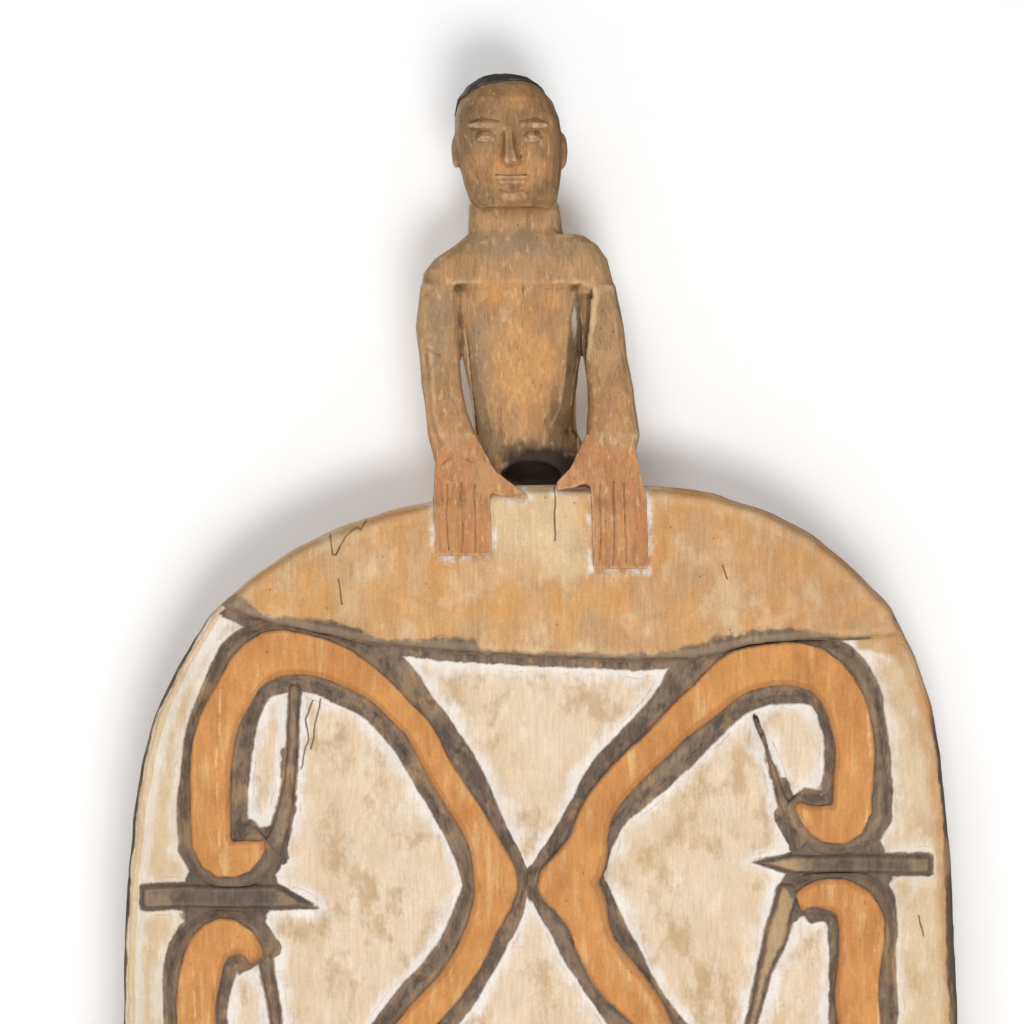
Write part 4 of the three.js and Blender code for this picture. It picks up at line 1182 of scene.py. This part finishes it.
# Knife lines on the figure: points of x and height above the board, then width and depth
KNIFE_LINES = (
    (((-110, 1310), (-115, 1040)), 13, 6), (((-750, 850), (-710, 400), (-650, 260)), 22, 12),
    (((-660, 840), (-745, 880)), 20, 10), (((-660, 130), (-560, 210), (-400, 155)), 16, 9),
    (((280, 160), (420, 220), (580, 140)), 16, 8),
    (((-520, 1760), (-300, 1810), (120, 1810)), 18, 8), (((500, 1100), (560, 600)), 18, 6),
    (((-300, 600), (-260, 300)), 16, 5))
FINGER_LINES = (
    (((-605, 0), (-605, -420)), 15, 11), (((-515, 20), (-510, -440)), 15, 11),
    (((-430, 0), (-425, -430)), 15, 11), (((385, 0), (385, -480)), 15, 11),
    (((465, 20), (470, -520)), 15, 11), (((535, 10), (550, -500)), 15, 11),
    (((-640, 130), (-560, 200), (-440, 145)), 14, 8), (((-300, -80), (-140, -70)), 14, 7))


def carved_lines(piece, lines):
    """Cuts knife lines into the front of a piece."""
    places, normals = places_of(piece), normals_of(piece)
    frontal = np.clip(-normals[:, 1] * 1.5, 0, 1)
    x = places[:, 0] + 0.0008 * lattice(places, 0.012, 31)
    z = places[:, 2] - BOARD_TOP
    sunk = np.zeros(len(places))
    for points, *cut in lines:
        width, depth = metres(cut)
        points = metres(points)
        gap = np.full(len(places), FAR)
        for a, b in zip(points, points[1:]):
            gap = np.minimum(gap, edge_distance(x, z, a, b))
        sunk = np.maximum(sunk, depth * np.clip(1 - gap / width, 0, 1) ** 1.3)
    places[:, 1] += sunk * frontal
    set_places(piece, places)


def hand_marks_set(piece):
    """Marks the ochre over a whole hand, and its dark and pale places."""
    places = places_of(piece)
    z = places[:, 2] - BOARD_TOP
    marks = {name: np.zeros(len(places)) for name, _, _ in STAINS_AND_SHADE}
    marks["ochre"] += 0.8
    marks["dark"] += 0.4 * np.exp(-((z + 0.012) / 0.007) ** 2)
    marks["warm"] += 0.45 * np.exp(-((z + 0.035) / 0.02) ** 2)
    for name, values in marks.items():
        stained(piece, name, values)


def off_front_plane(x, z):
    """How far each place lies left and right of the torso's front plane."""
    heights, left, right = metres(FRONT_PLANE).T
    return np.interp(z, heights, left) - x, x - np.interp(z, heights, right)


def between_arms(x, z):
    """True between the inner sides of the arms, which lean outwards as they rise."""
    slant = 0.1 * np.maximum(z - 0.03, 0)
    return (x > -0.042 - slant) & (x < 0.024 + slant)


def side_planes_cut(piece):
    """Pares the torso's flanks back from the borders of its front plane."""
    places, normals = places_of(piece), normals_of(piece)
    x, z = places[:, 0], places[:, 2] - BOARD_TOP
    frontal = np.clip(-normals[:, 1] * 2, 0, 1)
    tall = np.clip((z - 0.02) / 0.015, 0, 1) * np.clip((0.13 - z) / 0.008, 0, 1)
    beyond = np.maximum(*off_front_plane(x, z))
    places[:, 1] += 0.6 * np.clip(beyond, 0, 0.012) * frontal * tall * between_arms(x, z)
    set_places(piece, places)


def stains_and_shade_marked(piece):
    """Marks where each stain and each patch of painted shade lies on the figure."""
    places = places_of(piece)
    x, z = places[:, 0], places[:, 2] - BOARD_TOP
    marks = {name: np.zeros(len(places)) for name, _, _ in STAINS_AND_SHADE}
    for mark, *place, amount in BLOTS_OF_STAIN_AND_SHADE:
        across, up, wide, tall = metres(place)
        blot = amount * np.exp(-((x - across) / wide) ** 2 - ((z - up) / tall) ** 2)
        marks[mark] = np.maximum(marks[mark], blot)
    arms = ~between_arms(x, z)
    marks["ochre"] = arms * (0.4 * np.clip((0.085 - z) / 0.05, 0, 1)
                             + 0.45 * np.clip((0.023 - z) / 0.004, 0, 1))
    level = ~arms & (z > 0.0) & (z < 0.125)
    left_of, right_of = off_front_plane(x, z)
    # Painted shade on the torso's left flank, in ashen grey.
    marks["ashen_and_shade"] = np.maximum(marks["ashen_and_shade"], level * np.clip(left_of / 0.003 + 0.5, 0, 1))
    # Painted shade on the torso's right flank, in dark wood.
    dark = level * np.clip(right_of / 0.003 + 0.5, 0, 1) * np.clip((z - 0.025) / 0.02, 0, 1)
    marks["dark"] = np.maximum(marks["dark"], dark)
    facing = np.clip((0.4 - normals_of(piece)[:, 1]) / 0.5, 0, 1)
    for name, values in marks.items():
        stained(piece, name, values if name == "ochre" else values * facing)


def ends_reached(piece, low=0.0, high=0.0, widen=1.0):
    """Draws the lowest or the highest level of a copied solid out, into its neighbour."""
    places = places_of(piece)
    z = places[:, 2]
    for level, step in ((z > z.max() - 1e-4, high), (z < z.min() + 1e-4, -low)):
        if step:
            middle = places[level].mean(0)
            places[level, :2] = middle[:2] + (places[level, :2] - middle[:2]) * widen
            places[level, 2] += step
    set_places(piece, places)


def joined(label, pieces):
    chosen(*pieces)
    bpy.ops.object.join()
    piece = bpy.context.view_layer.objects.active
    piece.name = piece.data.name = label
    return piece


# Lines of the face: lids, parting of the lips, brows, wings of the nose, and a plain chin line
FACE_LINES = (
    (((-430, 2255), (-390, 2283), (-330, 2283), (-293, 2255)), 11, 6),
    (((-430, 2255), (-380, 2232), (-330, 2232), (-293, 2255)), 11, 6),
    (((20, 2255), (-20, 2283), (-80, 2283), (-117, 2255)), 11, 6),
    (((20, 2255), (-30, 2232), (-80, 2232), (-117, 2255)), 11, 6),
    (((-292, 2004), (-195, 1998), (-98, 2004)), 12, 9),
    (((-455, 2345), (-380, 2370), (-275, 2345)), 14, 7),
    (((45, 2345), (-30, 2370), (-135, 2345)), 14, 7),
    (((-262, 2125), (-252, 2085), (-230, 2072)), 11, 6),
    (((-132, 2125), (-142, 2085), (-164, 2072)), 11, 6),
    (((-275, 1905), (-195, 1885), (-115, 1905)), 13, 5))


def whittled(piece, cut, faces, scoop, seed, lines=()):
    """Cut finer, then pared to flat knife cuts, shallow scoops and knife lines."""
    cut_finer(piece, cut * 1.4, 2)
    with_modifier(piece, "DECIMATE", ratio=faces / len(piece.data.polygons) / 2)
    cut_finer(piece, cut, 2)
    scooped(piece, scoop, sizes().scoop_depth, seed)
    carved_lines(piece, lines)


class SHIELD_OT_figure(bpy.types.Operator):
    """Carves the ancestor figure with its head, hair and hands"""

    bl_idname = "shield.figure"
    bl_label = "Ancestor figure"

    def execute(self, context):
        wood = figure_finish("carved_wood", "figure_wood", paint(146, 108, 72))
        solids = []
        for name in BODY:
            solid = copied(name + "_copy", name)
            if name == "neck":
                ends_reached(solid, high=0.006, widen=0.93)
            if name.startswith("arm"):
                ends_reached(solid, low=0.012, widen=0.7)
            solids.append(solid)
        body = joined("ancestor_body", solids)
        with_modifier(body, "DISPLACE", strength=0.0003, mid_level=0.0)
        whittled(body, sizes().figure_cut, BODY_CUTS, sizes().body_scoop, 41, KNIFE_LINES)
        side_planes_cut(body)
        stains_and_shade_marked(body)
        edges_marked(body, scale=0.0004)
        finished(body, wood, "carved_wood", *BODY)
        head = copied("ancestor_head", "head")
        whittled(head, sizes().face_cut, HEAD_CUTS, sizes().face_scoop, 42, FACE_LINES)
        stains_and_shade_marked(head)
        edges_marked(head, scale=0.0003)
        skin = figure_finish("head_wood", paint(158, 121, 84), paint(124, 91, 62))
        finished(head, skin, "carved_wood", "head")
        hair = copied("hair_cap_carved", "hair_cap")
        sunk_in(hair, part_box("head"), 0.0012)
        whittled(hair, sizes().face_cut, SMALL_CUTS, sizes().face_scoop, 43)
        edges_marked(hair, scale=0.0005)
        finished(hair, hair_finish(), "soot", "hair_cap")
        for number, name in enumerate(("hand_left", "hand_right")):
            hand = copied(name + "_carved", name)
            ends_reached(hand, high=0.012, widen=0.7)
            whittled(hand, sizes().face_cut, SMALL_CUTS, sizes().face_scoop, 44 + number,
                     FINGER_LINES)
            hand_marks_set(hand)
            edges_marked(hand, scale=0.0004)
            finished(hand, wood, "red_ochre", name)
        return {"FINISHED"}


def sunk_in(piece, box, amount):
    """Moves a shell towards the middle of the box that it lies on."""
    places = places_of(piece)
    middle = np.array([(low + high) / 2 for low, high in zip(*box)])
    inward = middle - places
    inward /= np.linalg.norm(inward, axis=1)[:, None]
    set_places(piece, places + inward * amount)


class SHIELD_OT_grip(bpy.types.Operator):
    """Carves the grip behind"""

    bl_idname = "shield.grip"
    bl_label = "Grip"

    def execute(self, context):
        grip = copied("back_handle_carved", "back_handle")
        cut_finer(grip, sizes().relief_cut, 4)
        scooped(grip, 0.016, 2 * sizes().scoop_depth, 46)
        edges_marked(grip)
        finished(grip, back_finish(), "carved_wood", "back_handle")
        return {"FINISHED"}


# Lamps: name, place from the middle of the board's top, size and power
LAMPS = (
    ("low", (0.28, -2.1, -0.95), 1.0, 34), ("high", (-0.5, -2.2, 1.2), 1.4, 21),
    ("rear", (-1.4, 2.2, 1.0), 1.2, 34))
AMBIENT = 0.29
CAMERA_X = -0.0189
CAMERA_Z = 1.1297
SENSOR_WIDTH = 36
RELIEF = 0.006
ROOM = 3.0


def backdrop(name, corners, shade, glow):
    """A plain pale sheet; glow lifts it to white for the camera without lighting the object."""
    mesh = bpy.data.meshes.new(name)
    mesh.from_pydata(corners, [], [(0, 1, 2, 3)])
    sheet = bpy.data.objects.new(name, mesh)
    bpy.context.scene.collection.objects.link(sheet)
    f = Finish(name, 0.95)
    f.put(f.shader.inputs["Base Color"], shade)
    f.put(f.shader.inputs["Emission Color"], (1, 1, 1))
    seen = f.node("ShaderNodeLightPath", "Is Camera Ray")
    f.put(f.shader.inputs["Emission Strength"], seen * glow)
    mesh.materials.append(f.material)
    return sheet, f


def lamp(name, offset, size, power):
    """A round lamp that shines on the top of the board."""
    place = np.array(offset) + (0, 0, BOARD_TOP)
    data = bpy.data.lights.new(name, "AREA")
    data.shape, data.size, data.energy = "DISK", size, power
    made = bpy.data.objects.new(name, data)
    bpy.context.scene.collection.objects.link(made)
    made.location = place
    made.rotation_mode = "QUATERNION"
    made.rotation_quaternion = Vector((0, 0, BOARD_TOP) - place).to_track_quat("-Z", "Y")


def pale_world():
    """Even light round the object, which the camera sees as white."""
    world = bpy.data.worlds.new("studio")
    world.use_nodes = True
    nodes, links = world.node_tree.nodes, world.node_tree.links
    background, level = nodes["Background"], nodes.new("ShaderNodeMath")
    level.operation = "MULTIPLY_ADD"
    level.inputs[1].default_value = 1 - AMBIENT
    level.inputs[2].default_value = AMBIENT
    links.new(nodes.new("ShaderNodeLightPath").outputs["Is Camera Ray"], level.inputs[0])
    links.new(level.outputs[0], background.inputs["Strength"])
    background.inputs["Color"].default_value = (1, 1, 1, 1)
    return world


def level_camera():
    """A level camera before the crest, whose picture is view_width wide at the board's face."""
    data = bpy.data.cameras.new("camera")
    camera = bpy.data.objects.new("camera", data)
    bpy.context.scene.collection.objects.link(camera)
    camera.location = (CAMERA_X, GROUND_PLANE - RELIEF - sizes().camera_reach, CAMERA_Z)
    camera.rotation_euler = (math.radians(90), 0, 0)
    data.sensor_width = SENSOR_WIDTH
    data.lens = SENSOR_WIDTH * sizes().camera_reach / sizes().view_width
    return camera


class SHIELD_OT_stage(bpy.types.Operator):
    """Sets the floor, the wall behind, the lamps and the camera"""

    bl_idname = "shield.stage"
    bl_label = "Stage"

    def execute(self, context):
        wall_y = SHIELD_BACK + sizes().wall_gap
        wall, f = backdrop(
            "wall", [(-ROOM, wall_y, 0), (ROOM, wall_y, 0), (ROOM, wall_y, ROOM),
                     (-ROOM, wall_y, ROOM)], (0.97, 0.97, 0.97), 0.05)
        for ray in ("diffuse", "glossy", "transmission", "shadow", "volume_scatter"):
            setattr(wall, "visible_" + ray, False)
        behind = f.node("ShaderNodeNewGeometry", "Backfacing")
        sides = {0: behind, 1: Value(f, f.shader.outputs[0]),
                 2: f.node("ShaderNodeBsdfTransparent", 0)}
        f.put(f.tree.nodes["Material Output"].inputs[0], f.node("ShaderNodeMixShader", 0, sides))
        backdrop("floor", [(-ROOM, -ROOM, 0), (ROOM, -ROOM, 0), (ROOM, ROOM, 0), (-ROOM, ROOM, 0)],
                 (0.85, 0.85, 0.85), 0.1)
        for row in LAMPS:
            lamp(*row)
        context.scene.world = pale_world()
        context.scene.camera = level_camera()
        context.scene.view_settings.view_transform = "Standard"
        return {"FINISHED"}


OPERATORS = (
    SHIELD_OT_board, SHIELD_OT_crest, SHIELD_OT_scrolls, SHIELD_OT_small_work, SHIELD_OT_figure,
    SHIELD_OT_grip, SHIELD_OT_stage)


class SHIELD_PT_panel(bpy.types.Panel):
    """The shield's pieces, in the order that they are made"""

    bl_label = "Carved shield"
    bl_idname = "SHIELD_PT_panel"
    bl_space_type = "VIEW_3D"
    bl_region_type = "UI"
    bl_category = "Shield"

    def draw(self, context):
        for operator in OPERATORS:
            self.layout.operator(operator.bl_idname)
        for group in (context.scene.shield_sizes, context.scene.shield_colours):
            for name in group.__annotations__:
                self.layout.prop(group, name)


CLASSES = (ShieldSizes, ShieldColours, *OPERATORS, SHIELD_PT_panel)


def register():
    for made in CLASSES:
        bpy.utils.register_class(made)
    bpy.types.Scene.shield_sizes = bpy.props.PointerProperty(type=ShieldSizes)
    bpy.types.Scene.shield_colours = bpy.props.PointerProperty(type=ShieldColours)


def unregister():
    del bpy.types.Scene.shield_colours
    del bpy.types.Scene.shield_sizes
    for made in reversed(CLASSES):
        bpy.utils.unregister_class(made)


def main():
    register()
    for operator in OPERATORS:
        group, name = operator.bl_idname.split(".")
        getattr(getattr(bpy.ops, group), name)()


if __name__ == "__main__":
    main()
